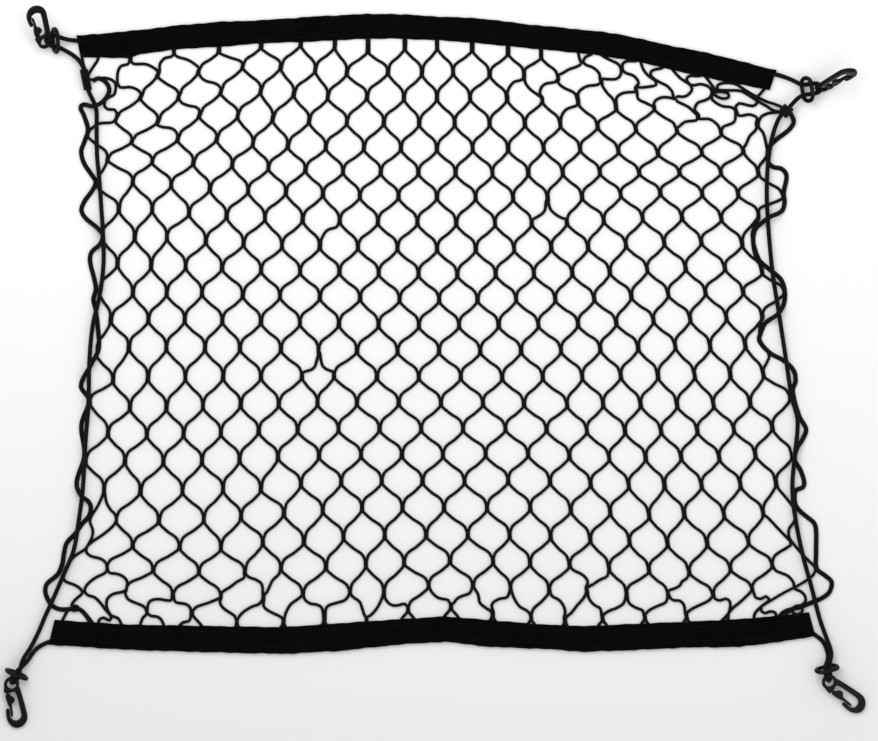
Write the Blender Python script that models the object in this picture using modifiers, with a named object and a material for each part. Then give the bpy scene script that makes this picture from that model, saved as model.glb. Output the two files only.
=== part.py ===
"""A flat elastic-edged cargo net with a hook at each corner, lying on a surface."""
import math

import bpy
import numpy as np
from mathutils import Matrix, Vector
from mathutils.geometry import delaunay_2d_cdt

# ---- the object's own drawing, in millimetres: x to the right, y downward, z up
MM = 0.001
MIDDLE_X = 434.825
MIDDLE_Y = 367.46

NET_THICK = 2.8
NET_ROWS = 18
NET_COLUMNS = 28
SELVAGE_WIDE = 4.6
HEAD_STRIP = 2.7
SEAM_GAP = 0.4
LEAST_STRAND = 2.6
LEAST_EDGE = 2.4
LEAST_GAP_AREA = 90
GAP_SIZES = (1.0, 0.9, 0.8, 0.7)
CORD_R = 2.25
RING_R = 2.1
RING_LONG = 27.4
RING_SHORT = 16.8
HOOK_THICK = 4.2
HOOK_EDGE = 0.8
GATE_THICK = 3.6

for old in list(bpy.data.objects):
    bpy.data.objects.remove(old)

PARTS = bpy.data.collections.new("cargo_net")
bpy.context.scene.collection.children.link(PARTS)


def at(x, y, z=0.0):
    """A point of the drawing in world metres."""
    return Vector(((x - MIDDLE_X) * MM, (MIDDLE_Y - y) * MM, z * MM))


def material(name, colour, roughness):
    made = bpy.data.materials.new(name)
    made.use_nodes = True
    shader = made.node_tree.nodes["Principled BSDF"]
    shader.inputs["Base Color"].default_value = (*colour, 1.0)
    shader.inputs["Roughness"].default_value = roughness
    return made


def place(name, data, colour, roughness):
    made = bpy.data.objects.new(name, data)
    data.materials.append(material(name, colour, roughness))
    PARTS.objects.link(made)
    return made


def smooth_row(stations, values, where):
    """A smooth curve through values at stations, read at where."""
    last = len(stations) - 1
    index = 0
    while index < last - 1 and where > stations[index + 1]:
        index += 1
    span = stations[index + 1] - stations[index]
    part = (where - stations[index]) / span

    def slope(at_station):
        before = max(at_station - 1, 0)
        after = min(at_station + 1, last)
        return (values[after] - values[before]) / (stations[after] - stations[before])

    start, end = slope(index) * span, slope(index + 1) * span
    cube, square = part ** 3, part ** 2
    return ((2 * cube - 3 * square + 1) * values[index] + (cube - 2 * square + part) * start
            + (3 * square - 2 * cube) * values[index + 1] + (cube - square) * end)


def smooth_path(points, pieces):
    """A smooth run through hand-chosen points, with so many pieces to each stretch."""
    points = [np.array(point, float) for point in points]
    made = []
    for index in range(len(points) - 1):
        before = points[max(index - 1, 0)]
        first, second = points[index], points[index + 1]
        after = points[min(index + 2, len(points) - 1)]
        for step in range(pieces):
            t = step / pieces
            start, end = (second - before) / 2, (after - first) / 2
            made.append((2 * t ** 3 - 3 * t ** 2 + 1) * first + (t ** 3 - 2 * t ** 2 + t) * start
                        + (3 * t ** 2 - 2 * t ** 3) * second + (t ** 3 - t ** 2) * end)
    made.append(points[-1])
    return made


# ---- the knots of the net: rows down the net, columns in half meshes across it
KNOT_COLUMNS = (2, 4, 8, 14, 20, 26, 32, 36, 38)
KNOTS = {
    0: ((86, 62), (130, 62), (219, 51), (335, 45), (437, 46),
         (541, 56), (656, 81), (714, 90), (745, 92)),
    2: ((97, 105), (141, 97), (221, 91), (328, 96), (437, 97),
         (542, 101), (655, 107), (736, 112), (785, 111)),
    4: ((88, 133), (132, 141), (217, 138), (327, 145), (437, 148),
         (546, 149), (658, 153), (743, 150), (768, 150)),
    6: ((97, 184), (133, 180), (210, 188), (323, 195), (437, 197),
         (546, 196), (660, 193), (738, 194), (783, 196)),
    8: ((102, 236), (135, 236), (206, 240), (320, 246), (437, 248),
         (551, 247), (664, 242), (742, 243), (753, 238)),
    10: ((99, 289), (133, 292), (202, 292), (319, 297), (439, 299),
         (555, 299), (668, 293), (743, 291), (784, 291)),
    12: ((96, 352), (129, 346), (205, 347), (319, 347), (439, 350),
         (559, 350), (675, 345), (745, 344), (769, 353)),
    14: ((90, 400), (130, 407), (203, 405), (317, 403), (441, 402),
         (567, 404), (677, 404), (750, 403), (790, 396)),
    16: ((86, 460), (125, 460), (202, 460), (318, 454), (443, 454),
         (569, 456), (681, 456), (755, 453), (792, 455)),
    18: ((90, 508), (116, 519), (204, 518), (322, 508), (444, 507),
         (569, 510), (684, 513), (763, 513), (794, 503)),
    20: ((64, 562), (107, 566), (199, 571), (326, 566), (450, 560),
         (569, 564), (689, 571), (772, 564), (815, 562)),
    22: ((75, 608), (108, 612), (192, 612), (323, 611), (451, 606),
         (565, 615), (687, 613), (765, 606), (800, 606)),
}


def knot(row, column):
    lines = [[np.array(spot, float) for spot in line] for line in KNOTS.values()]
    across = [smooth_row(KNOT_COLUMNS, line, column) for line in lines]
    return smooth_row(list(KNOTS), across, row)


# ---- the two bands: x, then y at the outer and the inner edge
BAND_TOP = (
    (78.5, 35.6, 57.5), (100, 33.6, 57.8), (130, 31, 58.2), (142, 29.6, 54), (181, 25, 49), (220, 21.7, 47),
    (262, 20.2, 43.4), (310, 16.7, 41.9), (355, 14.3, 39.4), (390, 13.7, 38.6), (440, 16.6, 40.4),
    (480, 18.3, 43.5), (527, 24.2, 48.2), (573, 28.7, 52.6), (600, 31.6, 55.6), (620, 34.2, 59),
    (642, 39.2, 62.6), (661, 43.6, 67.5), (688, 49, 73.6), (712, 53.8, 79), (773, 69.6, 91),
)
BAND_BOTTOM = (
    (51, 644.9, 619.6), (90, 647.5, 622), (130, 650, 624.5), (220, 652.6, 626), (283, 654, 627),
    (340, 651, 623), (400, 644.5, 619), (445, 641.8, 616.2), (490, 647, 620), (545, 649, 624.5),
    (585, 652, 626), (650, 649.5, 623), (680, 647.8, 621.9), (740, 647, 619), (790, 640.5, 614.5),
    (812.5, 636.5, 611.8),
)
# from the outer fold inward: part of the way for the last three, and the height
BAND_SECTION = (
    (1.5, 0.0, 0.0), (0.0, 0.0, 1.8), (0.0, 0.0, 4.0), (1.5, 0.0, 5.6), (4.3, 0.0, 5.6),
    (6.4, 0.0, 3.4), (8.4, 0.0, 2.4), (0.0, 1.0, 2.4), (0.0, 1.0, 0.0),
)


def band(name, table):
    """A folded band: a thick fold along the outer edge, thin inward of it."""
    verts, faces = [], []
    count = len(BAND_SECTION)
    for x, outer, inner in table:
        way = 1.0 if inner > outer else -1.0
        for inward, share, height in BAND_SECTION:
            y = outer + way * inward + share * (inner - outer)
            verts.append(at(x, y, height))
    for station in range(len(table) - 1):
        for index in range(count):
            after = (index + 1) % count
            low = station * count
            faces.append((low + index, low + after, low + count + after, low + count + index))
    faces.append(tuple(range(count))[::-1])
    faces.append(tuple(len(verts) - count + index for index in range(count)))
    if table[0][2] < table[0][1]:
        faces = [face[::-1] for face in faces]
    mesh = bpy.data.meshes.new(name)
    mesh.from_pydata(verts, [], faces)
    return place(name, mesh, (0.006, 0.006, 0.008), 0.9)


def edge_y(table, x, column):
    xs = [line[0] for line in table]
    ys = [line[column] for line in table]
    return float(np.interp(x, xs, ys))


# ---- the net's side edges, top to bottom: x, y of their thick strand
EDGE_LEFT = (
    (85, 61), (84, 80), (87, 95), (81.5, 106), (88, 130), (81.3, 151.5), (95.8, 182), (81.5, 210),
    (100.6, 237), (90.1, 261), (94.9, 289), (95.8, 310), (98.7, 349), (81, 385.8), (91, 400),
    (81.5, 425), (85.4, 455), (76.7, 482.5), (90.9, 507), (64, 553.6), (57.9, 574), (46.5, 592), (58, 615),
)
EDGE_RIGHT = (
    (765, 95), (788, 108), (793.6, 122), (776, 140), (768.3, 155), (786.4, 175.7), (784, 200),
    (754.9, 228.6), (755.8, 255.4), (784.5, 289.8), (777.8, 313.8), (759.2, 340.5), (795.5, 381),
    (792.6, 391), (806, 429), (794.5, 459.5), (804, 484), (795, 503), (816, 531), (816.8, 568.8),
    (831.5, 584), (808, 603), (800, 611),
)


def edge_x(table, y):
    path = smooth_path(table, 3)
    return float(np.interp(y, [p[1] for p in path], [p[0] for p in path]))


def net_outline():
    left = [(x - SELVAGE_WIDE / 2, y) for x, y in smooth_path(EDGE_LEFT, 2)]
    right = [(x + SELVAGE_WIDE / 2, y) for x, y in smooth_path(EDGE_RIGHT, 2)]
    bottom = [(x, inner - SEAM_GAP) for x, _, inner in BAND_BOTTOM if 66 < x < 795]
    top = [(x, inner + SEAM_GAP) for x, _, inner in BAND_TOP if 92 < x < 760]
    for side in (left, right):
        for end in (0, -1):
            x = side[end][0]
            y = edge_y(BAND_TOP, x, 2) + SEAM_GAP if end == 0 else edge_y(BAND_BOTTOM, x, 2) - SEAM_GAP
            side[end] = (x, y)
    return left + bottom + right[::-1] + top[::-1]


def net_gaps():
    """One outline for each gap: a point under the knot above, shoulders, sides, and a narrow foot."""
    gaps = []
    sides = beaded(net_outline())
    for step in range(NET_ROWS + 1):
        for rank in range(NET_COLUMNS + 1):
            if (step + rank) % 2 == 0:
                continue
            row = 22.6 * step / NET_ROWS
            column = 1 + 38 * rank / NET_COLUMNS
            row_step, column_step = 22.6 / NET_ROWS, 38 / NET_COLUMNS
            above, below = knot(row - row_step, column), knot(row + row_step, column)
            left, right = knot(row, column - column_step), knot(row, column + column_step)
            gap = [
                (above[0], above[1] + 6.5),
                (left[0] + 5.4, left[1] - 8.0),
                (left[0] + 3.6, left[1] + 3.0),
                (below[0] - 5.0, below[1] - 15.0),
                (below[0], below[1] - 9.5),
                (below[0] + 5.0, below[1] - 15.0),
                (right[0] - 3.6, right[1] + 3.0),
                (right[0] - 5.4, right[1] - 8.0),
            ]
            for size in GAP_SIZES:
                fitted = trim(resized(gap, size))
                if fitted and clear(fitted, gaps, sides):
                    gaps.append(fitted)
                    break
    return gaps


def resized(outline, size):
    middle = np.mean(np.array(outline), axis=0)
    return [tuple(middle + size * (np.array(point) - middle)) for point in outline]


def trim(gap):
    """The gap kept clear of the net's own edges, or nothing if too little of it is left."""
    kept = []
    for x, y in gap:
        x = min(max(x, edge_x(EDGE_LEFT, y) + SELVAGE_WIDE / 2), edge_x(EDGE_RIGHT, y) - SELVAGE_WIDE / 2)
        y = max(y, edge_y(BAND_TOP, x, 2) + SEAM_GAP + HEAD_STRIP)
        y = min(y, edge_y(BAND_BOTTOM, x, 2) - SEAM_GAP - HEAD_STRIP)
        if not kept or math.dist(kept[-1], (x, y)) > 1.2:
            kept.append((x, y))
    if len(kept) > 3 and math.dist(kept[0], kept[-1]) < 1.2:
        kept.pop()
    area = 0.5 * abs(sum(a[0] * b[1] - b[0] * a[1] for a, b in zip(kept, kept[1:] + kept[:1])))
    wide = min(max(p[axis] for p in kept) - min(p[axis] for p in kept) for axis in (0, 1))
    return kept if len(kept) > 2 and wide > 6 and area > LEAST_GAP_AREA else None


def beaded(outline, closed=True):
    """Points close together along an outline."""
    made = []
    for first, second in zip(outline, outline[1:] + (outline[:1] if closed else [])):
        steps = max(int(math.dist(first, second) / 1.5), 1)
        for step in range(steps):
            part = step / steps
            made.append((first[0] + part * (second[0] - first[0]), first[1] + part * (second[1] - first[1])))
    return np.array(made)


def crosses_itself(outline):
    def turn(a, b, c):
        return (b[0] - a[0]) * (c[1] - a[1]) - (b[1] - a[1]) * (c[0] - a[0])

    sides = list(zip(outline, outline[1:] + outline[:1]))
    for first in range(len(sides)):
        for second in range(first + 2, len(sides)):
            (a, b), (c, d) = sides[first], sides[second]
            if turn(a, b, c) * turn(a, b, d) < 0 and turn(c, d, a) * turn(c, d, b) < 0:
                return True
    return False


def clear(gap, others, sides):
    """Whether a strand of net is left between this gap, the ones before it and the net's edge."""
    if crosses_itself(gap):
        return False
    own = beaded(gap)
    middle = own.mean(axis=0)
    for other in others[-NET_COLUMNS - 2:]:
        if math.dist(np.mean(np.array(other), axis=0), middle) < 70:
            apart = np.linalg.norm(own[:, None] - beaded(other)[None], axis=2).min()
            if apart < LEAST_STRAND:
                return False
    near = sides[np.abs(sides[:, 1] - middle[1]) < 45]
    return len(near) == 0 or np.linalg.norm(own[:, None] - near[None], axis=2).min() > LEAST_EDGE


def add_loop(curve, points, closed=True):
    spline = curve.splines.new("POLY")
    spline.points.add(len(points) - 1)
    for point, place_at in zip(spline.points, points):
        point.co = (*place_at, 1.0)
    spline.use_cyclic_u = closed


def flat_curve(name, thick, edge=0.0):
    curve = bpy.data.curves.new(name, "CURVE")
    curve.dimensions = "2D"
    curve.fill_mode = "BOTH"
    curve.extrude = (thick / 2 - edge) * MM
    curve.bevel_depth = edge * MM
    curve.bevel_resolution = 0
    curve.offset = -edge * MM
    return curve


def turns_left(verts, face):
    a, b, c = (verts[index] for index in face[:3])
    return (b.x - a.x) * (c.y - a.y) > (b.y - a.y) * (c.x - a.x)


def make_net():
    loops = [net_outline()] + net_gaps()
    spots = [at(x, y).xy for outline in loops for x, y in outline]
    faces, first = [], 0
    for outline in loops:
        faces.append(list(range(first, first + len(outline))))
        first += len(outline)
    verts, _, filled = delaunay_2d_cdt(spots, [], faces, 2, 1e-7)[:3]
    filled = [face if turns_left(verts, face) else face[::-1] for face in filled]
    mesh = bpy.data.meshes.new("net")
    mesh.from_pydata([(x, y, 0.0) for x, y in verts], [], filled)
    made = place("net", mesh, (0.01, 0.01, 0.012), 0.8)
    thick = made.modifiers.new("thick", "SOLIDIFY")
    thick.thickness = NET_THICK * MM
    thick.offset = 1.0
    return made


# ---- the hook, in its own plane: across it (opening on the minus side), then toward its tip
HOOK_EYE_R = 7.7
HOOK_EYE_HOLE = 4.4
HOOK_OUTER = (
    (-7.8, 1.5), (-8.5, 7.0), (-7.4, 8.2), (-1.3, 8.2), (0.6, 7.6), (2.6, 8.2), (3.4, 9.6),
    (5.0, 20.0), (6.2, 31.3), (5.5, 34.2), (3.4, 36.2), (0.6, 37.1), (-2.3, 36.4), (-4.2, 34.3),
    (-4.9, 31.5), (-4.8, 25.2), (-5.6, 24.5), (-8.0, 24.5), (-8.6, 25.3), (-8.8, 31.2), (-8.3, 36.0),
    (-6.3, 40.3), (-3.2, 43.4), (1.0, 44.7), (5.5, 43.6), (9.0, 41.0), (11.4, 37.3), (12.1, 32.7),
    (9.9, 16.0), (7.8, 4.0),
)
GATE_PIVOT = (-4.9, 11.3)
GATE_R = 2.6
GATE_OUTER = (
    (-2.3, 11.4), (0.6, 13.4), (1.5, 15.6), (0.6, 18.0), (-1.6, 19.8), (-2.1, 22.0), (-2.0, 31.4),
    (-3.0, 32.8), (-4.2, 31.8), (-4.4, 24.4), (-6.2, 19.0), (-7.4, 13.0),
)
# the eye's middle and the tip, x, y, z; the roll in degrees; which face is up;
# then the way the cord leaves: x, y, z; half the distance between its two runs at the keeper ring,
# beside the hook and across it; how far out the ring lies; how far it leans, in degrees
HOOKS = {
    "tl": (
        (45.4, 42.0, 13.25), (34.6, 12.8, 38.3),
        -12.0, 1.0, (1.0, 0.15, 0.0), (4.6, -2.2), 11.4, 90.0,
    ),
    "tr": (
        (822.0, 87.6, 9.8), (852.2, 72.6, 34.5),
        119.0, 1.0, (-1.0, 0.12, 0.0), (2.3, 4.4), 15.4, 42.0,
    ),
    "bl": (
        (12.0, 684.0, 9.6), (16.6, 726.0, 2.3),
        0.0, -1.0, (0.44, -0.9, 0.0), (4.2, 2.4), 11.5, 90.0,
    ),
    "br": (
        (829.0, 681.8, 9.4), (859.4, 708.8, 2.6),
        0.0, -1.0, (-0.2, -1.0, 0.0), (3.6, 1.6), 13.6, 77.0,
    ),
}
# the cord's turn through the eye: outward from the eye's middle, share of the run's side step, height
BIGHT = ((8.6, 0.9, 4.4), (6.0, 0.8, 4.8), (3.4, 0.6, 4.6), (1.9, 0.35, 3.3), (1.25, 0.1, 1.2))


def hook_matrix(key):
    eye, tip, roll, turned = HOOKS[key][:4]
    forward = (at(*tip) - at(*eye)).normalized()
    up = Vector((0, 0, turned))
    across = forward.cross(up).normalized()
    normal = across.cross(forward).normalized()
    turn = Matrix.Rotation(math.radians(-roll), 3, forward)
    across, normal = turn @ across, turn @ normal
    made = Matrix.Identity(4)
    for row in range(3):
        made[row][0] = across[row]
        made[row][1] = forward[row]
        made[row][2] = normal[row]
        made[row][3] = at(*eye)[row]
    return made


def lead(key):
    """At a hook: the eye's middle, the way the cord leaves, the way beside it, and the plate's normal."""
    frame = hook_matrix(key)
    normal = frame.col[2].xyz
    x, y, z = HOOKS[key][4]
    out = Vector((x, -y, z))
    out = (out - normal * out.dot(normal)).normalized()
    return frame.col[3].xyz, out, normal.cross(out), normal


def ring_frame(key):
    """The keeper ring's middle, its long axis and its short axis."""
    eye, out, beside, normal = lead(key)
    step, height = HOOKS[key][5]
    away, lean = HOOKS[key][6], math.radians(HOOKS[key][7])
    along = (beside * step + normal * height).normalized()
    upward = out.cross(along)
    if upward.z < 0:
        upward = -upward
    return eye + out * away * MM, along, upward * math.sin(lean) - out * math.cos(lean)


def bight(key, side):
    """The cord from outside the keeper ring, through the eye and back out, as points."""
    eye, out, beside, normal = lead(key)
    step, height = HOOKS[key][5]
    away, lean = HOOKS[key][6], math.radians(HOOKS[key][7])
    upward = out.cross((beside * step + normal * height).normalized())
    if upward.z < 0:
        upward = -upward
    bend = RING_SHORT / 2 - RING_R
    sway = max(RING_R + CORD_R + 0.5 - bend * math.sin(lean), 0.0)
    made = []
    for sign in (side, -side):
        run = []
        for outward, rise in ((bend * math.cos(lean), sway), (0.0, 0.0), (-bend * math.cos(lean), -sway)):
            aside = sign * (beside * step + normal * height)
            run.append(eye + (out * (away + outward) + aside + upward * rise) * MM)
        if math.cos(lean) < 0.1:
            run = run[:1]
        for outward, share, up in BIGHT:
            if outward < away - bend * math.cos(lean) - 1.0:
                over = math.copysign(up, height)
                run.append(eye + (out * outward + sign * (beside * step * share + normal * over)) * MM)
        made += run if sign == side else run[::-1]
    return made


# ---- the elastics, from the top band's end to the bottom band's: x, y, z, pieces to the next
LEFT_START = ((76.6, 40.7, 3.0, 1), (71, 40.3, 5.5, 1), (64.5, 39.2, 10.5, 1))
LEFT_SIDE = (
    (63.5, 50.6, 8.2, 1), (69, 54.8, 8.2, 1), (75.8, 59.6, 8.1, 1),
    (82.3, 65.5, 8.0, 1), (84.2, 70, 7.9, 1), (88.2, 90, 7.9, 1), (91, 96, 7.0, 1), (96.4, 108.7, 5.8, 1),
    (96.8, 127.8, 5.6, 2), (97.3, 156.5, 5.6, 2), (99.2, 175.7, 5.6, 2), (101.6, 209, 5.6, 2),
    (103.5, 239, 5.6, 2), (103.6, 266, 5.6, 2), (99.7, 296.5, 5.6, 2), (93, 325, 5.6, 2),
    (89.6, 361.6, 5.6, 3),
    (88.7, 403, 5.6, 3), (85.4, 446, 5.6, 3), (83, 489, 5.6, 2), (79.3, 518, 5.6, 2), (73.9, 550, 5.6, 2),
    (63.2, 576, 5.6, 2), (51.6, 602.7, 5.6, 1), (45.4, 616, 5.0, 1), (37.9, 632, 4.6, 1), (27.6, 649, 6.5, 1),
    (21.4, 660, 9.0, 1),
)
LEFT_END = ((26.6, 660.6, 6.6, 1), (33.0, 650.8, 4.2, 1), (38.5, 646.5, 3.2, 1), (46.5, 642.6, 3.0, 1))
RIGHT_START = ((776.6, 74.8, 3.0, 1), (784, 77, 5.0, 1), (791, 80.0, 8.6, 1), (796.2, 82.6, 11.2, 1))
RIGHT_SIDE = (
    (797, 98.6, 10.6, 1), (792.6, 103.6, 10.0, 1), (788, 108.4, 9.8, 1),
    (782.2, 114.2, 9.8, 1), (778.4, 118.6, 8.4, 1), (772, 137.4, 5.6, 2), (767.6, 166, 5.6, 3),
    (766.8, 204, 5.6, 3), (772, 269.7, 5.6, 3), (778.8, 313.8, 5.6, 3), (786, 361, 5.6, 3),
    (791.7, 398, 5.6, 2), (797.4, 420, 5.6, 2), (794.6, 455.7, 5.6, 2), (792.2, 483, 5.6, 2),
    (793.6, 508, 5.6, 3),
    (801.6, 551, 5.6, 3), (811.4, 587.5, 5.6, 2), (820.3, 621, 5.4, 2), (829.2, 648, 7.0, 1),
    (831.6, 656, 8.4, 1),
)
RIGHT_END = ((826.0, 656.6, 6.4, 1), (824.6, 648.6, 4.4, 1), (821.6, 641.6, 3.4, 1), (816.4, 636.2, 3.0, 1))


def elastic(start, upper, side, lower, end):
    """The whole run of one side's elastic: band, upper hook, side, lower hook, band."""
    whole = [(*line[:3], line[3]) for line in start]
    for middle, after in ((upper, side), (lower, end)):
        whole += [(*from_world(point), 1) for point in middle]
        whole += list(after)
    return [at(*point) for point in route(whole)]


def from_world(point):
    return (point[0] / MM + MIDDLE_X, MIDDLE_Y - point[1] / MM, point[2] / MM)


def route(table):
    whole = [line[:3] for line in table]
    made = []
    for index in range(len(table) - 1):
        last = min(index + 2, len(table) - 1)
        window = [whole[max(index - 1, 0)], whole[index], whole[index + 1], whole[last]]
        pieces = table[index][3]
        first, second = np.array(window[1], float), np.array(window[2], float)
        span = np.linalg.norm(second - first)
        before, after = np.array(window[0], float), np.array(window[3], float)
        start = (second - before) * span / max(np.linalg.norm(first - before) + span, span)
        end = (after - first) * span / max(np.linalg.norm(after - second) + span, span)
        for step in range(pieces):
            t = step / pieces
            made.append((2 * t ** 3 - 3 * t ** 2 + 1) * first + (t ** 3 - 2 * t ** 2 + t) * start
                        + (3 * t ** 2 - 2 * t ** 3) * second + (t ** 3 - t ** 2) * end)
    made.append(np.array(whole[-1], float))
    return made


def tube(name, points, radius, closed, colour, roughness):
    curve = bpy.data.curves.new(name, "CURVE")
    curve.dimensions = "3D"
    curve.bevel_depth = radius * MM
    curve.bevel_resolution = 2
    curve.use_fill_caps = not closed
    add_loop(curve, points, closed)
    return place(name, curve, colour, roughness)


# ---- sleeves round the cord: distance along it, radius
def sleeve(name, middle, along, profile, colour):
    """A turned sleeve with a clear bore, lying along a direction of the drawing."""
    mesh = bpy.data.meshes.new(name)
    verts = [(radius * MM, 0.0, height * MM) for radius, height in profile]
    mesh.from_pydata(verts, [(i, (i + 1) % len(verts)) for i in range(len(verts))], [])
    made = place(name, mesh, colour, 0.75)
    turn = made.modifiers.new("turn", "SCREW")
    turn.axis = "Z"
    turn.steps = 14
    turn.render_steps = 14
    turn.use_merge_vertices = True
    turn.merge_threshold = 0.00001
    turn.use_smooth_shade = True
    lean = Vector((0, 0, 1)).rotation_difference(along)
    made.rotation_mode = "QUATERNION"
    made.rotation_quaternion = lean
    made.location = middle
    return made


def arc(radius, start, end, count, middle=(0.0, 0.0)):
    made = []
    for index in range(count):
        angle = math.radians(start + (end - start) * index / (count - 1))
        made.append((middle[0] + radius * math.cos(angle), middle[1] + radius * math.sin(angle)))
    return made


def make_hook(key):
    colour = (0.02, 0.02, 0.021)
    frame = hook_matrix(key)
    curve = flat_curve("hook_" + key, HOOK_THICK, HOOK_EDGE)
    eye_back = arc(HOOK_EYE_R, 20, -190, 11)
    outline = eye_back + list(HOOK_OUTER)
    add_loop(curve, [(u * MM, v * MM, 0.0) for u, v in outline])
    add_loop(curve, [(u * MM, v * MM, 0.0) for u, v in arc(HOOK_EYE_HOLE, 0, 330, 12)])
    made = place("hook_" + key, curve, colour, 0.45)
    made.matrix_world = frame
    curve = flat_curve("gate_" + key, GATE_THICK, 0.4)
    root = arc(GATE_R, 170, 350, 7, GATE_PIVOT)
    points = [(u - GATE_PIVOT[0], v - GATE_PIVOT[1]) for u, v in root + list(GATE_OUTER)]
    add_loop(curve, [(u * MM, v * MM, 0.0) for u, v in points])
    gate = place("gate_" + key, curve, colour, 0.45)
    gate.matrix_world = frame @ Matrix.Translation((GATE_PIVOT[0] * MM, GATE_PIVOT[1] * MM, 0.0))
    return frame


def make_ring(key):
    middle, along, across = ring_frame(key)
    bend = RING_SHORT / 2 - RING_R
    straight = (RING_LONG - RING_SHORT) / 2
    points = []
    for side, start in ((1.0, -90.0), (-1.0, 90.0)):
        for index in range(9):
            angle = math.radians(start + 22.5 * index)
            u = side * straight + bend * math.cos(angle)
            v = bend * math.sin(angle)
            points.append(middle + (along * u + across * v) * MM)
    return tube("ring_" + key, points, RING_R, True, (0.02, 0.02, 0.021), 0.45)


band("band_top", BAND_TOP)
band("band_bottom", BAND_BOTTOM)
make_net()
ELASTIC_COLOUR = (0.008, 0.008, 0.009)
left = elastic(LEFT_START, bight("tl", 1.0), LEFT_SIDE, bight("bl", 1.0), LEFT_END)
right = elastic(RIGHT_START, bight("tr", 1.0), RIGHT_SIDE, bight("br", 1.0), RIGHT_END)
tube("elastic_left", left, CORD_R, False, ELASTIC_COLOUR, 0.85)
tube("elastic_right", right, CORD_R, False, ELASTIC_COLOUR, 0.85)

WHIP_OUT, WHIP_BORE, WHIP_HALF = 4.5, 2.8, 9.4
WHIP = ((WHIP_OUT, WHIP_HALF - 1), (WHIP_OUT, 1 - WHIP_HALF), (WHIP_OUT - 1, -WHIP_HALF),
        (WHIP_BORE, -WHIP_HALF), (WHIP_BORE, WHIP_HALF), (WHIP_OUT - 1, WHIP_HALF))
whipping_way = at(88.2, 90, 7.9) - at(84.2, 70, 7.9)
sleeve("whipping_left", at(86.2, 80, 7.9), whipping_way, WHIP, ELASTIC_COLOUR)
LUMP = ((6.4, 1.8), (6.4, -1.8), (4.6, -3.8), (2.8, -3.8), (2.8, 3.8), (4.6, 3.8))
knot_way = at(782.2, 114.2, 9.8) - at(788, 108.4, 9.8)
sleeve("knot_right", at(785.1, 111.3, 9.8), knot_way, LUMP, ELASTIC_COLOUR)

for corner in HOOKS:
    make_hook(corner)
    make_ring(corner)
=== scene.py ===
"""A slack elastic cargo net lying flat on a pale surface.

Yarn meshes between two cloth bands, an elastic down each side, and a snap hook with a keeper ring
at each corner. The file is laid out as an add-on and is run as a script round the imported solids.
"""

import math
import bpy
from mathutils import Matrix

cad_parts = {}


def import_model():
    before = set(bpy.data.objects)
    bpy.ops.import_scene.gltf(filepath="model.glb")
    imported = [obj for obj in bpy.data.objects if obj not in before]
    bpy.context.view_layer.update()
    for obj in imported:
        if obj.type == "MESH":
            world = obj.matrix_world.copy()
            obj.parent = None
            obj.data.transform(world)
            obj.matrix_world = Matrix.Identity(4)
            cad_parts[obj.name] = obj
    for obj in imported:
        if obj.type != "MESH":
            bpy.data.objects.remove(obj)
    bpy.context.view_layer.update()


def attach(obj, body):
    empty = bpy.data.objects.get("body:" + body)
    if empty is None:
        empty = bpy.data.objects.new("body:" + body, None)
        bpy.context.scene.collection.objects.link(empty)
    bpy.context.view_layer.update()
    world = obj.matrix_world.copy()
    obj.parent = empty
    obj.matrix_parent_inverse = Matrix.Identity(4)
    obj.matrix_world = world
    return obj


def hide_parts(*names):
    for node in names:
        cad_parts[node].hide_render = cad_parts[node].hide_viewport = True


bl_info = {
    "name": "Cargo net",
    "version": (1, 0, 0),
    "blender": (4, 5, 0),
    "location": "View3D > Sidebar > Cargo net",
    "description": "Builds an elastic cargo net with cloth bands, elastics and corner hooks",
    "category": "Object",
}

from collections import namedtuple

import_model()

import bpy
import numpy as np
from bpy.props import FloatProperty, FloatVectorProperty, IntProperty, PointerProperty
from bpy.types import Operator, Panel, PropertyGroup
from mathutils import Matrix, Vector

# ---- the object's own drawing, in millimetres: x to the right, y downward, z up
MM = 0.001
MIDDLE_X = 434.825
MIDDLE_Y = 367.46
BODY = "netting"
UP = (0.0, 0.0, 1.0)
# a way whose level part is shorter than this counts as upright
NEARLY_UPRIGHT = 0.1
# how far each further wave of an unevenness is shifted, in radians
WAVE_SHIFT = 1.7

# ---- the camera, the floor and the light: metres, but for the picture's middle, which is on the drawing
CAMERA_HEIGHT = 9.0
FIELD_WIDTH = 0.878
PICTURE_MIDDLE = (439.0, 370.5)
SENSOR = 36.0
FLOOR_SIZE = 9.0
FLOOR_DROP = 0.0002
SKY_STRENGTH = 0.62
# each softbox: its name, place, size and power
SOFTBOXES = (
    ("softbox_high", (-0.35, 0.75, 1.9), 1.5, 21.0),
    ("softbox_side", (0.9, -0.5, 1.7), 1.2, 7.0),
)

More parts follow.
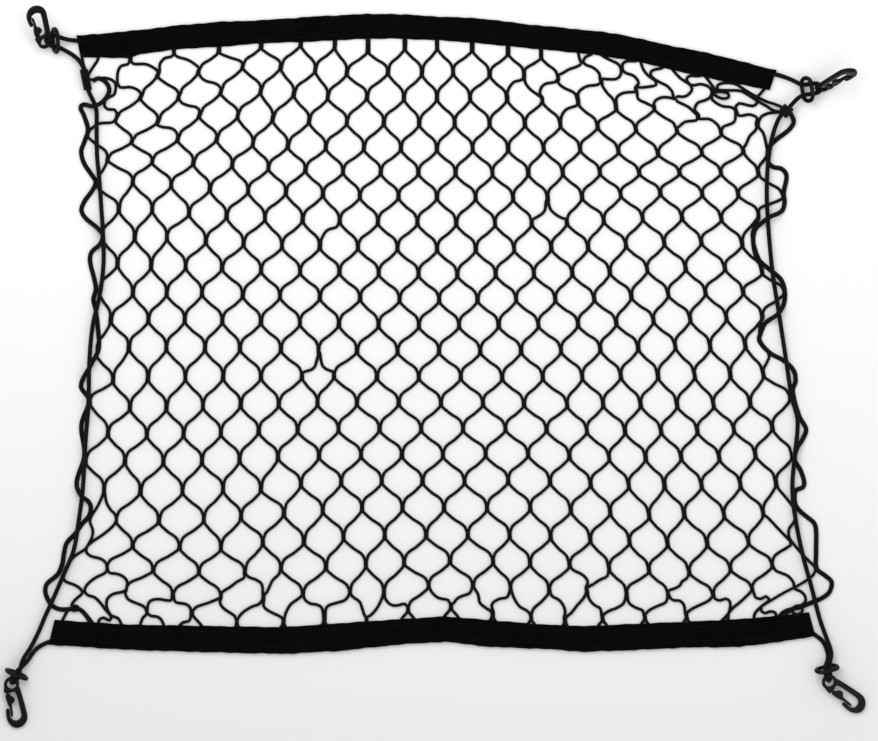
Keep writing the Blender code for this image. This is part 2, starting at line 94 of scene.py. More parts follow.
# ---- the knots of the net: rows down the net, columns in half meshes across it
KNOT_ROWS = 22
KNOT_COLUMNS = (2, 4, 8, 12, 16, 20, 24, 28, 32, 36, 38)
KNOTS = {
    0: ((86, 62), (130, 62), (219, 51), (301, 43), (368, 50), (437, 46), (508, 52), (582, 62),
        (656, 81), (714, 90), (745, 92)),
    2: ((97, 105), (141, 96), (221, 91), (294, 93), (367, 96), (437, 97), (507, 98), (578, 102),
        (654, 107), (736, 112), (785, 111)),
    4: ((88, 133), (132, 141), (217, 138), (288, 145), (364, 147), (437, 148), (508, 148), (580, 148),
        (658, 153), (743, 150), (768, 150)),
    6: ((97, 184), (133, 180), (210, 188), (286, 191), (360, 195), (437, 196), (513, 197), (582, 196),
        (660, 192), (738, 194), (783, 196)),
    8: ((102, 236), (135, 236), (206, 240), (282, 245), (358, 246), (437, 248), (514, 248), (588, 246),
        (664, 242), (742, 243), (753, 238)),
    10: ((99, 289), (133, 292), (202, 292), (280, 295), (360, 297), (439, 299), (516, 298), (594, 298),
        (668, 293), (743, 291), (784, 291)),
    12: ((96, 352), (129, 346), (205, 347), (281, 348), (357, 350), (439, 350), (521, 350), (600, 348),
        (675, 345), (745, 344), (769, 353)),
    14: ((90, 400), (130, 407), (203, 405), (279, 403), (357, 402), (441, 402), (524, 403), (603, 403),
        (677, 404), (750, 403), (790, 396)),
    16: ((86, 460), (125, 460), (202, 460), (278, 456), (361, 454), (443, 454), (528, 453), (609, 457),
        (681, 456), (755, 453), (792, 455)),
    18: ((90, 508), (116, 519), (204, 518), (284, 512), (362, 507), (444, 507), (530, 507), (610, 511),
        (684, 513), (763, 513), (794, 503)),
    20: ((64, 562), (107, 566), (199, 571), (281, 567), (366, 563), (450, 560), (530, 562), (609, 567),
        (689, 571), (772, 564), (815, 562)),
    22: ((75, 608), (108, 612), (192, 612), (283, 619), (366, 618), (451, 606), (530, 614), (603, 614),
        (687, 613), (765, 606), (800, 606)),
}
# knots that lie off the smooth grid: (row, column): where they are
OWN_PLACE = {
    (0, 14): (335, 45), (0, 18): (405, 46), (0, 26): (541, 56), (0, 30): (622, 68), (0, 34): (692, 86),
    (1, 3): (117, 84), (1, 5): (158, 74), (1, 7): (199, 70), (1, 9): (243, 65), (1, 11): (281, 66),
    (1, 15): (347, 72), (1, 17): (388, 71), (1, 19): (422, 72), (1, 21): (453, 71), (1, 25): (524, 73),
    (1, 27): (558, 77), (1, 29): (601, 81), (1, 31): (636, 90), (1, 33): (674, 97), (1, 35): (711, 97),
    (2, 6): (179, 96), (2, 10): (261, 90), (2, 14): (328, 96), (2, 18): (404, 97), (2, 22): (470, 97),
    (2, 30): (616, 108), (2, 34): (698, 117), (3, 3): (116, 119), (3, 5): (158, 121),
    (3, 35): (721, 133), (3, 37): (757, 126), (4, 6): (178, 138), (4, 10): (253, 143),
    (5, 3): (108, 158), (5, 37): (758, 173), (6, 34): (702, 193), (7, 3): (119, 208),
    (7, 37): (758, 212), (8, 6): (167, 236), (8, 34): (701, 241), (9, 37): (762, 272),
    (10, 10): (243, 294), (11, 3): (111, 319), (11, 37): (762, 315), (12, 10): (240, 347),
    (12, 34): (710, 346), (13, 3): (113, 380), (13, 13): (302, 375), (13, 15): (334, 374),
    (14, 26): (567, 404), (16, 34): (719, 457), (17, 11): (261, 488), (18, 10): (241, 516),
    (18, 30): (649, 515), (19, 9): (221, 547), (19, 13): (304, 541), (19, 37): (791, 543),
    (20, 10): (245, 571), (20, 14): (326, 566), (20, 18): (404, 562), (20, 22): (493, 560.5),
    (21, 5): (126, 588), (21, 7): (173, 594), (21, 9): (221, 595), (21, 11): (263.4, 597),
    (21, 15): (350, 592), (21, 17): (384, 591), (21, 19): (428.6, 584.4), (21, 21): (473, 585),
    (21, 27): (586.8, 590), (21, 33): (713, 594), (21, 35): (752, 588), (22, 6): (147, 609),
    (22, 10): (237, 621.6), (22, 12): (283.4, 621.4), (22, 14): (324.4, 619), (22, 16): (366.6, 619.4),
    (22, 18): (408, 608.6), (22, 22): (492.6, 614.4), (22, 24): (531, 617), (22, 26): (565, 620),
    (22, 28): (602.6, 617.6), (22, 30): (644.8, 616.8), (22, 32): (686.4, 615.6), (22, 34): (729, 609),
}
# how far a knot's yarns run straight above and below its middle, and from the last knot toward the band
KNOT_ABOVE = 2.4
KNOT_BELOW = 2.2
KNOT_TO_BAND = 4.0
# the column whose knots stand upright; the ones to its left lean to the right and the other way round
LEVEL_COLUMN = 20
# the lean for each column away from it, and the most on the right
LEAN_LEFT = 0.022
LEAN_RIGHT = 0.012
LEAN_MOST = 0.15
# on the left the lean fades over some rows, and a share of it is kept further down
FADE_ROWS = 4
FADED_ROW = 7
FADED_SHARE = 0.15
# how far sideways a full lean draws a yarn's leg
LEAN_PULL = 4.6
# a yarn's run from one knot to the next, as shares of the way across and down
LEG = ((0.063, 0.18), (0.15, 0.252), (0.45, 0.465), (0.73, 0.615), (0.88, 0.735), (0.945, 0.87))
# yarns with a run of their own between two knots: (yarn, row of the upper knot): x, y
OWN_LEGS = {
    (5, 3): ((157, 125), (162, 127), (170, 128), (175, 130.4)),
    (6, 2): ((182, 103), (190, 106), (196, 107), (199.2, 109.4)),
    (7, 1): ((201, 77), (206, 81), (214, 83), (218.6, 85.4)),
    (9, 20): ((244, 577.6), (237, 581.6), (230, 587)),
    (9, 21): ((220, 602), (222.4, 607), (229, 612), (234.6, 615.6)),
    (10, 20): ((249, 577), (256, 579.6), (261.6, 584)),
    (10, 21): ((259, 604), (252, 606.6), (244, 611.4), (239.6, 616)),
    (11, 20): ((279, 574), (273, 580), (270, 586), (267, 592)),
    (11, 21): ((263.6, 606), (268, 610.4), (275, 614), (281, 617)),
    (12, 21): ((298.6, 598.4), (291, 604), (287, 610.6), (285, 616)),
    (13, 12): ((318, 354), (316.6, 361), (315, 366.6), (311, 369.8), (305.6, 371.4)),
    (13, 21): ((305, 599.6), (310, 603.4), (317, 604.6), (321.6, 607.6)),
    (14, 7): ((336.6, 227), (330.6, 228.8), (326.4, 231), (323.4, 235.4), (321, 240)),
    (14, 12): ((320.2, 354), (321, 361), (323, 366.6), (327.4, 369.6), (331.4, 371)),
    (14, 21): ((345, 600), (336, 603), (328.6, 605.4), (325.6, 609)),
    (15, 21): ((354.6, 598), (359.6, 601.4), (362.4, 608), (364.4, 615)),
    (16, 21): ((381.4, 599), (377, 608), (371, 615)),
    (17, 21): ((385, 597), (388, 602.4), (393, 605.4), (399, 605), (404.6, 603.6)),
    (19, 21): ((431.6, 592), (437, 597.2), (442, 598.8), (448, 600)),
    (20, 21): ((470, 593), (462, 596), (456.6, 599), (453.6, 603)),
    (21, 21): ((477.6, 593), (479, 597.6), (479.4, 601.6), (482, 605), (487, 608.6)),
    (22, 21): ((507, 597), (500, 598.6), (495, 601), (491.6, 605)),
    (23, 21): ((513.6, 597), (517.6, 604), (521, 607.4), (527, 610.6)),
    (24, 1): ((522, 79.6), (514, 82), (509, 88), (507, 94)), (25, 1): ((525, 82), (530, 89), (538, 95)),
    (25, 2): ((540, 105), (534, 110), (528, 115)),
    (25, 6): ((545.8, 203), (545.4, 209), (543, 213), (537, 217)),
    (25, 21): ((552, 596), (558.6, 599.6), (563, 605), (565, 612)),
    (26, 1): ((555, 82), (546, 83.6), (541.4, 87), (540, 94)),
    (26, 6): ((548.4, 203), (550.6, 209.4), (556, 214.6), (562, 218)),
    (26, 20): ((573, 570), (580.6, 573.6), (585.6, 577.4), (588, 582)),
    (26, 21): ((583.6, 598), (577, 605.6), (571, 613)), (27, 1): ((558, 82.6), (564, 88), (574, 93)),
    (27, 2): ((576.6, 105.6), (567, 109), (563, 113), (561, 118)),
    (27, 20): ((607, 576), (599.6, 579.8), (592.6, 584.6)),
    (27, 21): ((588.6, 598), (594, 604.6), (600.6, 608.6)),
    (28, 1): ((597, 85), (588, 86), (582, 89), (578, 93.6)),
    (28, 21): ((623.4, 603), (617, 607.6), (608.6, 611)),
    (29, 21): ((629, 602.6), (635.6, 607.6), (642.6, 610.4)),
    (30, 1): ((633, 92), (622, 93.4), (616.5, 98)), (30, 21): ((666, 602), (657.6, 606), (650, 609.8)),
    (31, 1): ((638, 99), (646, 103), (652, 106)),
    (31, 20): ((687, 578), (682, 581.4), (680, 585.4), (674.4, 588.6)),
    (31, 21): ((670.4, 598.4), (673.6, 600.4), (679.4, 600.6), (683.6, 604.6)),
    (32, 1): ((671, 98), (662, 97.4), (655, 101), (653.5, 106)),
    (32, 21): ((708, 601), (699.6, 605), (691.6, 609)),
    (33, 2): ((696, 120.5), (685, 122), (678.5, 127)),
    (34, 2): ((701, 119), (710, 119.4), (718, 125.5)), (35, 2): ((734, 122), (723, 127)),
    (36, 3): ((755, 131), (750, 136), (745.5, 145)), (36, 18): ((767, 517), (778, 528.5), (788, 539)),
    (36, 19): ((788, 547), (775, 555.5)), (37, 7): ((759, 218), (756, 224), (752.6, 231)),
    (37, 11): ((760.5, 324), (759.6, 338), (766, 349)),
}
# yarns with a run of their own at the top: the row they join the net at, then x, y and sometimes z
HEADS = {
    2: (4, ((98, 54), (98, 59), (92, 69, 2.5), (88, 77, 6), (91, 80, 6), (96, 79, 3.5), (105, 78),
        (112, 80), (115.6, 84), (115.6, 91), (114, 95), (108, 98), (104.6, 102), (104.4, 106),
        (108, 109.4), (114.5, 109.6), (116.8, 113), (115.6, 119), (112, 122.4), (100, 123.4),
        (92.5, 127.5))),
    3: (2, ((129.4, 54), (129.4, 62), (127.5, 64.4), (121, 66), (117.9, 72), (117.6, 84), (120, 87.4),
        (130, 87.2), (137, 89.6))),
    4: (1, ((131.6, 54), (131.6, 62), (134, 64), (146, 64.2), (154, 68))),
    5: (1, ((173, 46), (173, 55), (170.5, 57), (165, 58), (160, 64))),
    6: (1, ((175, 46), (175, 55), (178, 57), (188, 60), (196, 65))),
    27: (1, ((577, 48), (580, 60), (581.4, 63.6), (577, 66.6), (569, 69.4), (561, 74))),
    28: (1, ((592, 54), (585, 57.4), (583, 61), (586, 65), (592, 67), (599, 73))),
    29: (1, ((600, 54), (604, 57), (612, 61), (618.6, 64.6), (621, 70), (620.4, 75), (616, 79),
        (604, 79))),
    30: (1, ((642, 58), (636, 61), (627, 61.2), (622.6, 64), (622.8, 70), (626, 73), (634, 76),
        (638.6, 83))),
    31: (1, ((640, 60), (643.4, 70), (649, 76.4), (655.6, 81), (656.4, 85), (650, 86.6), (641, 87.6))),
    32: (1, ((668, 64), (661, 68.4), (654, 69.8), (650.4, 72.4), (651.6, 77), (659, 82), (667, 86),
        (672.4, 92))),
    33: (2, ((669, 66), (672, 69), (680, 78), (690, 85), (692, 88.6), (690, 93), (684.6, 96.6),
        (677, 96.6), (674.8, 98.6), (677, 101.4), (688, 107), (696, 114))),
    34: (2, ((708, 73), (700, 76), (690, 76), (686.6, 79), (690, 84.6), (694, 85.4), (700, 84.2),
        (708, 86.4), (711.6, 91), (710.4, 97), (705, 100.4), (697.6, 103), (694.4, 110))),
    35: (2, ((703, 74), (711, 84), (714, 89), (711.8, 95), (712, 99.6), (722, 106), (731, 107.2))),
    36: (3, ((753, 96), (757, 102), (753, 106), (738.6, 103.4), (735.6, 106), (737, 112), (739, 115.8),
        (750, 114.6), (757, 118))),
    37: (4, ((785, 112, 8), (777, 112.4, 4), (770, 113), (762, 116), (758.8, 121), (758.4, 127),
        (763, 133))),
}
# yarns with a run of their own at the foot: the last row they keep, then x, y
TAILS = {
    2: (17, ((102.8, 494), (98, 506), (91, 517), (90.2, 522), (93, 530), (92, 537), (89, 543),
        (85.6, 548.6), (75, 556), (68, 564), (64.6, 571), (64, 579), (67, 582), (75, 585),
        (81.4, 589.6), (82.4, 593), (75, 600), (71.4, 605), (73, 608), (77, 607), (85, 613),
        (94, 624))),
    3: (17, ((105, 493), (106.6, 503), (111, 510), (115.4, 514.6), (115.8, 521.6), (112, 527),
        (104, 534), (92, 542), (86.4, 547.6), (87, 553), (92, 556.4), (100, 558.4), (105, 561.6),
        (106.6, 566), (105.8, 572), (95, 578), (87, 585), (84.6, 591), (88, 595), (95, 597.4),
        (100, 602), (106, 610), (111, 616.4), (109.6, 620.4), (103.4, 617.6), (99, 620), (98, 626))),
    4: (20, ((109.4, 572.6), (118, 574), (125, 578), (127.4, 583), (125, 590.6), (113, 594),
        (107.2, 599), (107, 607), (111.6, 615.6), (118, 618), (123, 627))),
    5: (21, ((125.4, 593), (128, 599), (136, 603), (143, 606), (146.2, 610), (146.2, 614.6),
        (143, 617.6), (139, 628))),
    6: (21, ((171, 600.4), (158, 599), (150.4, 601), (147.8, 606), (147.8, 613.6), (151, 615.8),
        (158, 616.8), (162, 620.6), (165, 629))),
    7: (21, ((175.6, 602), (186, 604), (190.4, 607.6), (190.8, 616), (189, 621), (183, 622.4),
        (177, 629))),
    33: (21, ((715, 598.6), (720, 600.4), (726, 598.6), (730, 601.6), (730, 608), (728.6, 613),
        (728, 624))),
    34: (21, ((750, 592.4), (740, 602), (732.4, 608.4), (726, 616), (718, 624))),
    35: (21, ((754, 593), (755.6, 597.4), (761, 598.8), (766, 596.2), (769, 598.4), (768, 601.4),
        (763, 605), (758, 609.6), (754.6, 614), (753, 624))),
    36: (20, ((776, 570.6), (788, 576), (793.4, 583), (794, 588.6), (800, 591), (805, 596), (805, 602),
        (797, 607), (784, 611), (776, 620))),
    37: (17, ((778, 488), (786, 498), (793, 507), (796, 515), (793, 523), (789, 529), (789, 537),
        (793, 543.6), (802, 554), (810, 562), (815, 568), (814, 574), (807, 580), (797, 586),
        (785, 592), (770, 601), (761, 607), (761, 611), (765, 613), (770, 611.4), (775, 612.6),
        (777, 622))),
}
# how high the middle of a net yarn lies, and how far it wanders to either side
YARN_HEIGHT = 1.75
YARN_WANDER = 0.25
# how far apart the points of the net's yarns, of the loose runs and of the side yarns are
YARN_SPACING = 2.8
RUN_SPACING = 2.0
SIDE_SPACING = 1.7
# half the side yarn's height, as a share of its width
SIDE_YARN_FLAT = 0.35

# ---- the two bands: x, then y at the outer and the inner edge
BAND_TOP = (
    (78.5, 35.6, 57.5), (100, 33.6, 57.8), (130, 31, 58.2), (142, 29.6, 54), (181, 25, 49),
    (220, 21.7, 47), (262, 20.2, 43.4), (310, 16.7, 41.9), (355, 14.3, 39.4), (390, 13.7, 38.6),
    (440, 16.6, 40.4), (480, 18.3, 43.5), (527, 24.2, 48.2), (573, 28.7, 52.6), (600, 31.6, 55.6),
    (620, 34.2, 59), (642, 39.2, 62.6), (661, 43.6, 67.5), (688, 49, 73.6), (712, 53.8, 79),
    (773, 69.6, 91),
)
BAND_BOTTOM = (
    (51, 644.9, 619.6), (90, 647.5, 622), (130, 650, 624.5), (220, 652.6, 626), (283, 654, 627),
    (340, 651, 623), (400, 644.5, 619), (445, 641.8, 616.2), (490, 647, 620), (545, 649, 624.5),
    (585, 652, 626), (650, 649.5, 623), (680, 647.8, 621.9), (740, 647, 619), (790, 640.5, 614.5),
    (812.5, 636.5, 611.8),
)
# how far the ends of the outer and the inner edge stand past the table's ends
BAND_SKEW = {"top": ((-2.0, 3.6), (2.2, -3.5)), "bottom": ((-2.6, 3.2), (3.7, -3.7))}
# the band's section: how far inward from the outer edge, then height
BAND_OUTER_SECTION = (
    (1, 0.1), (0.25, 0.8), (0, 2), (0.1, 3.3), (0.6, 4.4), (1.6, 5.25), (3, 5.6), (4.4, 5.4),
    (5.6, 4.7), (6.5, 3.6), (7.2, 2.9), (8, 3.2), (9.4, 3.5), (12, 3.6),
)
# and from the inner edge
BAND_INNER_SECTION = (
    (-8.4, 3.6), (-6.4, 3.4), (-5.6, 2.9), (-4.8, 3.3), (-3.4, 3.8), (-1.6, 3.9), (-0.6, 3.4),
    (-0.1, 2.5), (0, 1.6), (-0.2, 0.8), (-0.8, 0.2), (-2.4, 0.1),
)
# how far apart the section is set along the band
BAND_SPACING = 3.4
# how uneven the edges, the thickness and the cloth over the elastic are
OUTER_WANDER = 0.55
INNER_WANDER = 0.35
BAND_SWELL = 0.05
BAND_PUCKER = 0.16
PUCKER_OVER = 2.6
# the rows of stitches, from the outer edge or, when negative, from the inner one
STITCH_ROWS = (7.2, -5.6)
STITCH_HEIGHT = 3.05
# the distance between stitches in stitch lengths; a stitch's points along it, and their rise in metres
STITCH_PITCH = 1.35
STITCH_SHAPE = ((-0.5, -0.0003), (-0.2, 0.00022), (0.2, 0.00022), (0.5, -0.0003))
THREAD_R = 0.00036
# the weave of the cloth, in metres
WARP_PITCH = 0.0011
WEFT_PITCH = 0.0014

# ---- the net's thick side yarns: x, y, z of their middle
SIDE_LEFT = (
    (93, 81, 2), (98.3, 78.5, 2), (104.6, 81, 2), (109, 87.4, 2), (108.5, 93.8, 3), (102, 102.7, 9),
    (93, 106.5, 9), (84, 104.6, 3), (80.6, 107.4, 2), (84.4, 116.4, 1.8), (88, 130, 1.8),
    (84.3, 142.2, 1.8), (81.3, 151.5, 1.8), (84, 163, 1.8), (91, 173.8, 1.8), (95.8, 182, 1.8),
    (92, 191, 1.8), (84.8, 201, 1.8), (81.5, 210, 1.8), (85.3, 217.8, 1.8), (97, 227.5, 5.5),
    (103, 235, 9.4), (100.6, 243.7, 6), (91.6, 252.4, 1.8), (90.1, 261, 1.8), (94.4, 279.3, 1.8),
    (95.9, 289, 1.8), (93.5, 299.4, 1.8), (95.8, 310, 1.8), (98.2, 330, 1.8), (98.7, 349, 1.8),
    (92, 363.5, 9.3), (81, 385.8, 1.8), (89, 400, 1.8), (81.5, 425, 1.8), (84.4, 455, 1.8),
    (76.7, 482.5, 1.8), (81, 495, 9.2), (88.7, 501.6, 4), (90.9, 507, 1.8), (89, 516, 1.8),
    (82.9, 523, 1.8), (75.7, 533, 1.8), (66.8, 543, 1.8), (64, 553.6, 1.8), (62.3, 564, 1.8),
    (57.9, 574, 1.8), (47, 584, 1.8), (45.4, 592, 1.8), (49.8, 602.7, 1.8), (54.3, 607, 1.8),
    (61.4, 609.4, 1.8), (78.4, 609, 1.8), (84.6, 613.4, 1.8), (92.7, 625, 1.8),
)
SIDE_RIGHT = (
    (790, 113, 9), (793.6, 122, 3), (789, 129.7, 1.8), (776, 140, 1.8), (768.3, 149, 1.8),
    (768.3, 162, 1.8), (773, 167, 1.8), (781.7, 169, 1.8), (786.4, 175.7, 1.8), (783.6, 193, 1.8),
    (784.5, 202.5, 1.8), (781.7, 211, 2.5), (768.3, 217.8, 9.4), (757.7, 226.4, 1.8), (754.9, 230, 1.8),
    (753, 239, 1.8), (755.8, 255.4, 1.8), (761.6, 263, 1.8), (771, 270.7, 1.8), (780.7, 279.3, 1.8),
    (784.5, 289.8, 1.8), (784, 303, 2), (777.8, 313.8, 9.4), (765.4, 323, 1.8), (760.6, 333, 1.8),
    (759.2, 340.5, 1.8), (770, 353, 1.8), (783.6, 360.6, 1.8), (793.6, 370.5, 1.8), (795.5, 381, 1.8),
    (792.6, 390.6, 1.8), (799.3, 416.4, 1.8), (806, 429, 1.8), (803, 438.4, 1.8), (796.5, 449, 7),
    (794.5, 459.5, 7), (800.3, 470, 1.8), (804, 481.5, 1.8), (803, 487, 1.8), (795.5, 491, 1.8),
    (795, 503, 1.8), (799, 510, 1.8), (807, 517, 1.8), (814, 523, 1.8), (816, 531, 1.8),
    (816, 553.6, 1.8), (816.8, 568.8, 1.8), (825.7, 576, 1.8), (831.5, 582, 1.8), (829.3, 592, 1.8),
    (822, 598, 1.8), (813, 601.8, 1.8), (802.5, 606.3, 1.8), (790, 610, 1.8), (780, 619, 1.8),
)
# ---- loose yarns at the corners, each a short run: x, y, z
CORNER_RUNS = {
    "left_tie": ((82, 54, 3.4), (83, 62, 5), (85.6, 70, 6.4), (87.4, 78, 6.6)),
    "right_outer": ((716.6, 90, 3.4), (718, 85, 1.8), (725, 83, 1.8), (735, 84, 1.8), (745, 90, 1.8),
        (755, 96, 1.8), (766, 101.4, 2.6), (775, 104.4, 5), (782, 107.5, 8.6)),
    "right_inner": ((712, 90, 1.8), (726, 90.4, 1.8), (740, 91, 1.8), (748, 95, 3.6), (758, 101.5, 3.6),
        (766, 106, 3.4), (773, 110.4, 4.6), (781, 112.5, 8)),
    "right_short": ((765, 88, 3.2), (760.4, 93.6, 3.8), (755, 98.6, 4.6)),
    "right_loop": ((714, 92, 3.6), (722, 92, 3.6), (728, 93.6, 3.6), (728.4, 97.4, 3.6),
        (722, 98.6, 3.6), (714.6, 95, 3.4), (713, 90, 3.4)),
    "left_foot": ((71, 607.6, 2.2), (67, 612, 1.8), (61, 623, 1.8)),
    "left_lump": ((70.6, 609.6, 3), (74, 605.8, 4.2), (78, 606.4, 4.2), (77.4, 610, 3.6),
        (72.6, 610.6, 3)),
    "right_lump": ((803, 608, 3.2), (799.6, 605.4, 4.8), (794.6, 606.6, 5), (792, 611, 4.6),
        (796, 614.4, 4.4), (801.6, 612, 4.6), (802, 607.6, 5.2), (796, 606, 5.2), (788, 612, 4.2),
        (782, 617, 3.8)),
}

# ---- the hook, in its own plane: across it (opening on the minus side), then toward its tip
HOOK_EYE_R = 7.7
HOOK_EYE_HOLE = 4.4
HOOK_OUTER = (
    (-7.8, 1.5), (-8.5, 7), (-7.4, 8.2), (-1.3, 8.2), (0.6, 7.6), (2.6, 8.2), (3.4, 9.6), (5, 20),
    (6.2, 31.3), (5.5, 34.2), (3.4, 36.2), (0.6, 37.1), (-2.3, 36.4), (-4.2, 34.3), (-4.9, 31.5),
    (-4.8, 25.2), (-5.6, 24.5), (-8, 24.5), (-8.6, 25.3), (-8.8, 31.2), (-8.3, 36), (-6.3, 40.3),
    (-3.2, 43.4), (1, 44.7), (5.5, 43.6), (9, 41), (11.4, 37.3), (12.1, 32.7), (9.9, 16), (7.8, 4),
)
HOOK_EDGE = 1.15
GATE_PIVOT = (-4.9, 11.3)
GATE_R = 2.6
GATE_OUTER = (
    (-2.3, 11.4), (0.6, 13.4), (1.5, 15.6), (0.6, 18), (-1.6, 19.8), (-2.1, 22), (-2, 31.4), (-3, 32.8),
    (-4.2, 31.8), (-4.4, 24.4), (-6.2, 19), (-7.4, 13),
)
GATE_EDGE = 0.7
# each corner: the eye's middle and the tip, x, y, z; the roll in degrees; which face is up; the way the
# cord leaves; half the distance between its two runs at the keeper ring, beside the hook and across it;
# how far out the ring lies; how far it leans, in degrees
Corner = namedtuple("Corner", "eye tip roll face leaves apart ring_out ring_lean")
HOOKS = {
    "tl": Corner((45.4, 42.0, 13.25), (34.6, 12.8, 38.3), -12.0, 1.0,
                 (1.0, 0.15, 0.0), (4.6, -2.2), 11.4, 90.0),
    "tr": Corner((822.0, 87.6, 9.8), (852.2, 72.6, 34.5), 119.0, 1.0,
                 (-1.0, 0.12, 0.0), (2.3, 4.4), 15.4, 42.0),
    "bl": Corner((12.0, 684.0, 9.6), (16.6, 726.0, 2.3), 0.0, -1.0,
                 (0.44, -0.9, 0.0), (4.2, 2.4), 11.5, 90.0),
    "br": Corner((829.0, 681.8, 9.4), (859.4, 708.8, 2.6), 0.0, -1.0,
                 (-0.2, -1.0, 0.0), (3.6, 1.6), 13.6, 77.0),
}
RING_LONG = 27.4
RING_SHORT = 16.8
RING_STEPS = 20
# how far the cord stays clear of a leaning ring
RING_CLEAR = 0.5
# how close the two runs of the cord lie at the keeper ring, as a share of their distance in the solids
PINCH = {"tl": 1.0, "tr": 1.0, "bl": 0.55, "br": 0.62}
# the cord's turn through the eye: outward from the eye's middle, share of the run's side step, height
BIGHT = ((8.6, 0.9, 4.4), (6, 0.8, 4.8), (3.4, 0.6, 4.6), (1.9, 0.35, 3.3), (1.25, 0.1, 1.2))

# ---- the elastics, from the top band's end to the bottom band's: x, y, z
LEFT_START = ((80.5, 41.2, 3), (76.6, 40.7, 3), (71, 40.3, 5.5), (64.5, 39.2, 10.5))
LEFT_SIDE = (
    (64.4, 50.3, 8.2), (70.4, 53.5, 8.2), (77, 58.3, 8.1), (82.2, 64.6, 8), (84.2, 70, 7.9),
    (88.2, 90, 7.9), (91, 96, 7), (96.4, 108.7, 5.8), (96.8, 127.8, 5.6), (97.3, 156.5, 5.6),
    (99.2, 175.7, 5.6), (101.6, 209, 5.6), (103.5, 239, 5.6), (103.6, 266, 5.6), (99.7, 296.5, 5.6),
    (93, 325, 5.6), (89.6, 361.6, 5.6), (88.7, 403, 5.6), (85.4, 446, 5.6), (83, 489, 5.6),
    (79.3, 518, 5.6), (73.9, 550, 5.6), (63.2, 576, 5.6), (51.6, 602.7, 5.6), (45.4, 616, 5),
    (38.2, 633, 4.6), (29.6, 649.6, 6.5), (23.6, 658.6, 9),
)
LEFT_END = ((27.4, 661.2, 6.6), (32.8, 653, 4.4), (38, 647.4, 3.2), (46.5, 642.8, 3), (52, 641, 3))
RIGHT_START = ((772, 73.4, 3), (776.6, 74.8, 3), (784, 77, 5), (791, 80, 8.6), (796.2, 82.6, 11.2))
RIGHT_SIDE = (
    (797, 98.6, 10.6), (792.6, 103.6, 10), (788, 108.4, 9.8), (782.2, 114.2, 9.8), (778.4, 118.6, 8.4),
    (772, 137.4, 5.6), (767.6, 166, 5.6), (766.8, 204, 5.6), (772, 269.7, 5.6), (778.8, 313.8, 5.6),
    (786, 361, 5.6), (791.7, 398, 5.6), (797.4, 420, 5.6), (794.6, 455.7, 5.6), (792.2, 483, 5.6),
    (793.6, 508, 5.6), (801.6, 551, 5.6), (811.4, 587.5, 5.6), (819.6, 619, 5.4), (827.6, 641.6, 6.6),
    (831.2, 653, 8.2),
)
RIGHT_END = ((828, 657.4, 5.8), (826.6, 649.6, 4), (823, 641.4, 3.3), (816.8, 636.2, 3), (811, 632, 3))
ELASTIC_SPACING = 2.2
ELASTIC_LOWEST = 2.3
# how often each elastic's bends are evened out
EVENED = 3
# the whipping on the left elastic and the knot on the right one: their ends, then sizes in metres
WHIP_ENDS = ((84.2, 70, 7.9), (88.2, 90, 7.9))
WHIP_R = 0.0011
WHIP_TURNS = 10.6
KNOT_ENDS = ((788, 108.4, 9.8), (782.2, 114.2, 9.8))
KNOT_R = 0.0020
KNOT_TURNS = 2.6
KNOT_HALF_LONG = 0.0034
# the knot's crossing: along the elastic, to its side, up
KNOT_CROSSING = (
    (-0.0056, 0.0038, 0.0), (-0.0028, 0.0, 0.0056), (0.0028, 0.0, 0.0058), (0.0056, -0.0038, 0.0),
)


# ---- small helpers
def at(x, y, z=0.0):
    """A point of the drawing in world metres."""
    return Vector(((x - MIDDLE_X) * MM, (MIDDLE_Y - y) * MM, z * MM))


def world(points):
    """Points of the drawing as an array in world metres."""
    return np.array([at(*point) for point in points])


def lengths(points):
    """How far along an open line each of its points lies."""
    return np.concatenate([[0.0], np.cumsum(np.linalg.norm(np.diff(points, axis=0), axis=1))])


def bridged(first, start, second, end, part):
    """A point of the smooth curve from first to second that leaves along start and arrives along end."""
    cube, square = part ** 3, part ** 2
    return ((2 * cube - 3 * square + 1) * first + (cube - 2 * square + part) * start
            + (3 * square - 2 * cube) * second + (cube - square) * end)


def smooth_row(stations, values, where):
    """A smooth curve through values at stations, read at where."""
    last = len(stations) - 1
    index = 0
    while index < last - 1 and where > stations[index + 1]:
        index += 1
    span = stations[index + 1] - stations[index]

    def slope(station):
        before, after = max(station - 1, 0), min(station + 1, last)
        return (values[after] - values[before]) / (stations[after] - stations[before])

    part = (where - stations[index]) / span
    return bridged(values[index], slope(index) * span, values[index + 1], slope(index + 1) * span, part)


def knot(row, column):
    """Where the net's knot of this row and column lies."""
    if (row, column) in OWN_PLACE:
        return np.array(OWN_PLACE[row, column], float)
    across = [smooth_row(KNOT_COLUMNS, np.array(line, float), column) for line in KNOTS.values()]
    return smooth_row(list(KNOTS), across, row)


def eased(points, spacing):
    """A smooth run through given points, with a point about every spacing."""
    points = np.array(points, float)
    last = len(points) - 1
    made = []
    for index in range(last):
        before, first = points[max(index - 1, 0)], points[index]
        second, after = points[index + 1], points[min(index + 2, last)]
        span = np.linalg.norm(second - first)
        start = (second - before) * span / (np.linalg.norm(first - before) + span)
        end = (after - first) * span / (np.linalg.norm(after - second) + span)
        pieces = max(int(round(span / spacing)), 1)
        made += [bridged(first, start, second, end, step / pieces) for step in range(pieces)]
    return np.array(made + [points[-1]])


def laid(points, spacing, lowest):
    """An eased run in world metres that never dips below the lowest height."""
    made = eased(points, spacing)
    made[:, 2] = np.maximum(made[:, 2], lowest)
    return world(made)


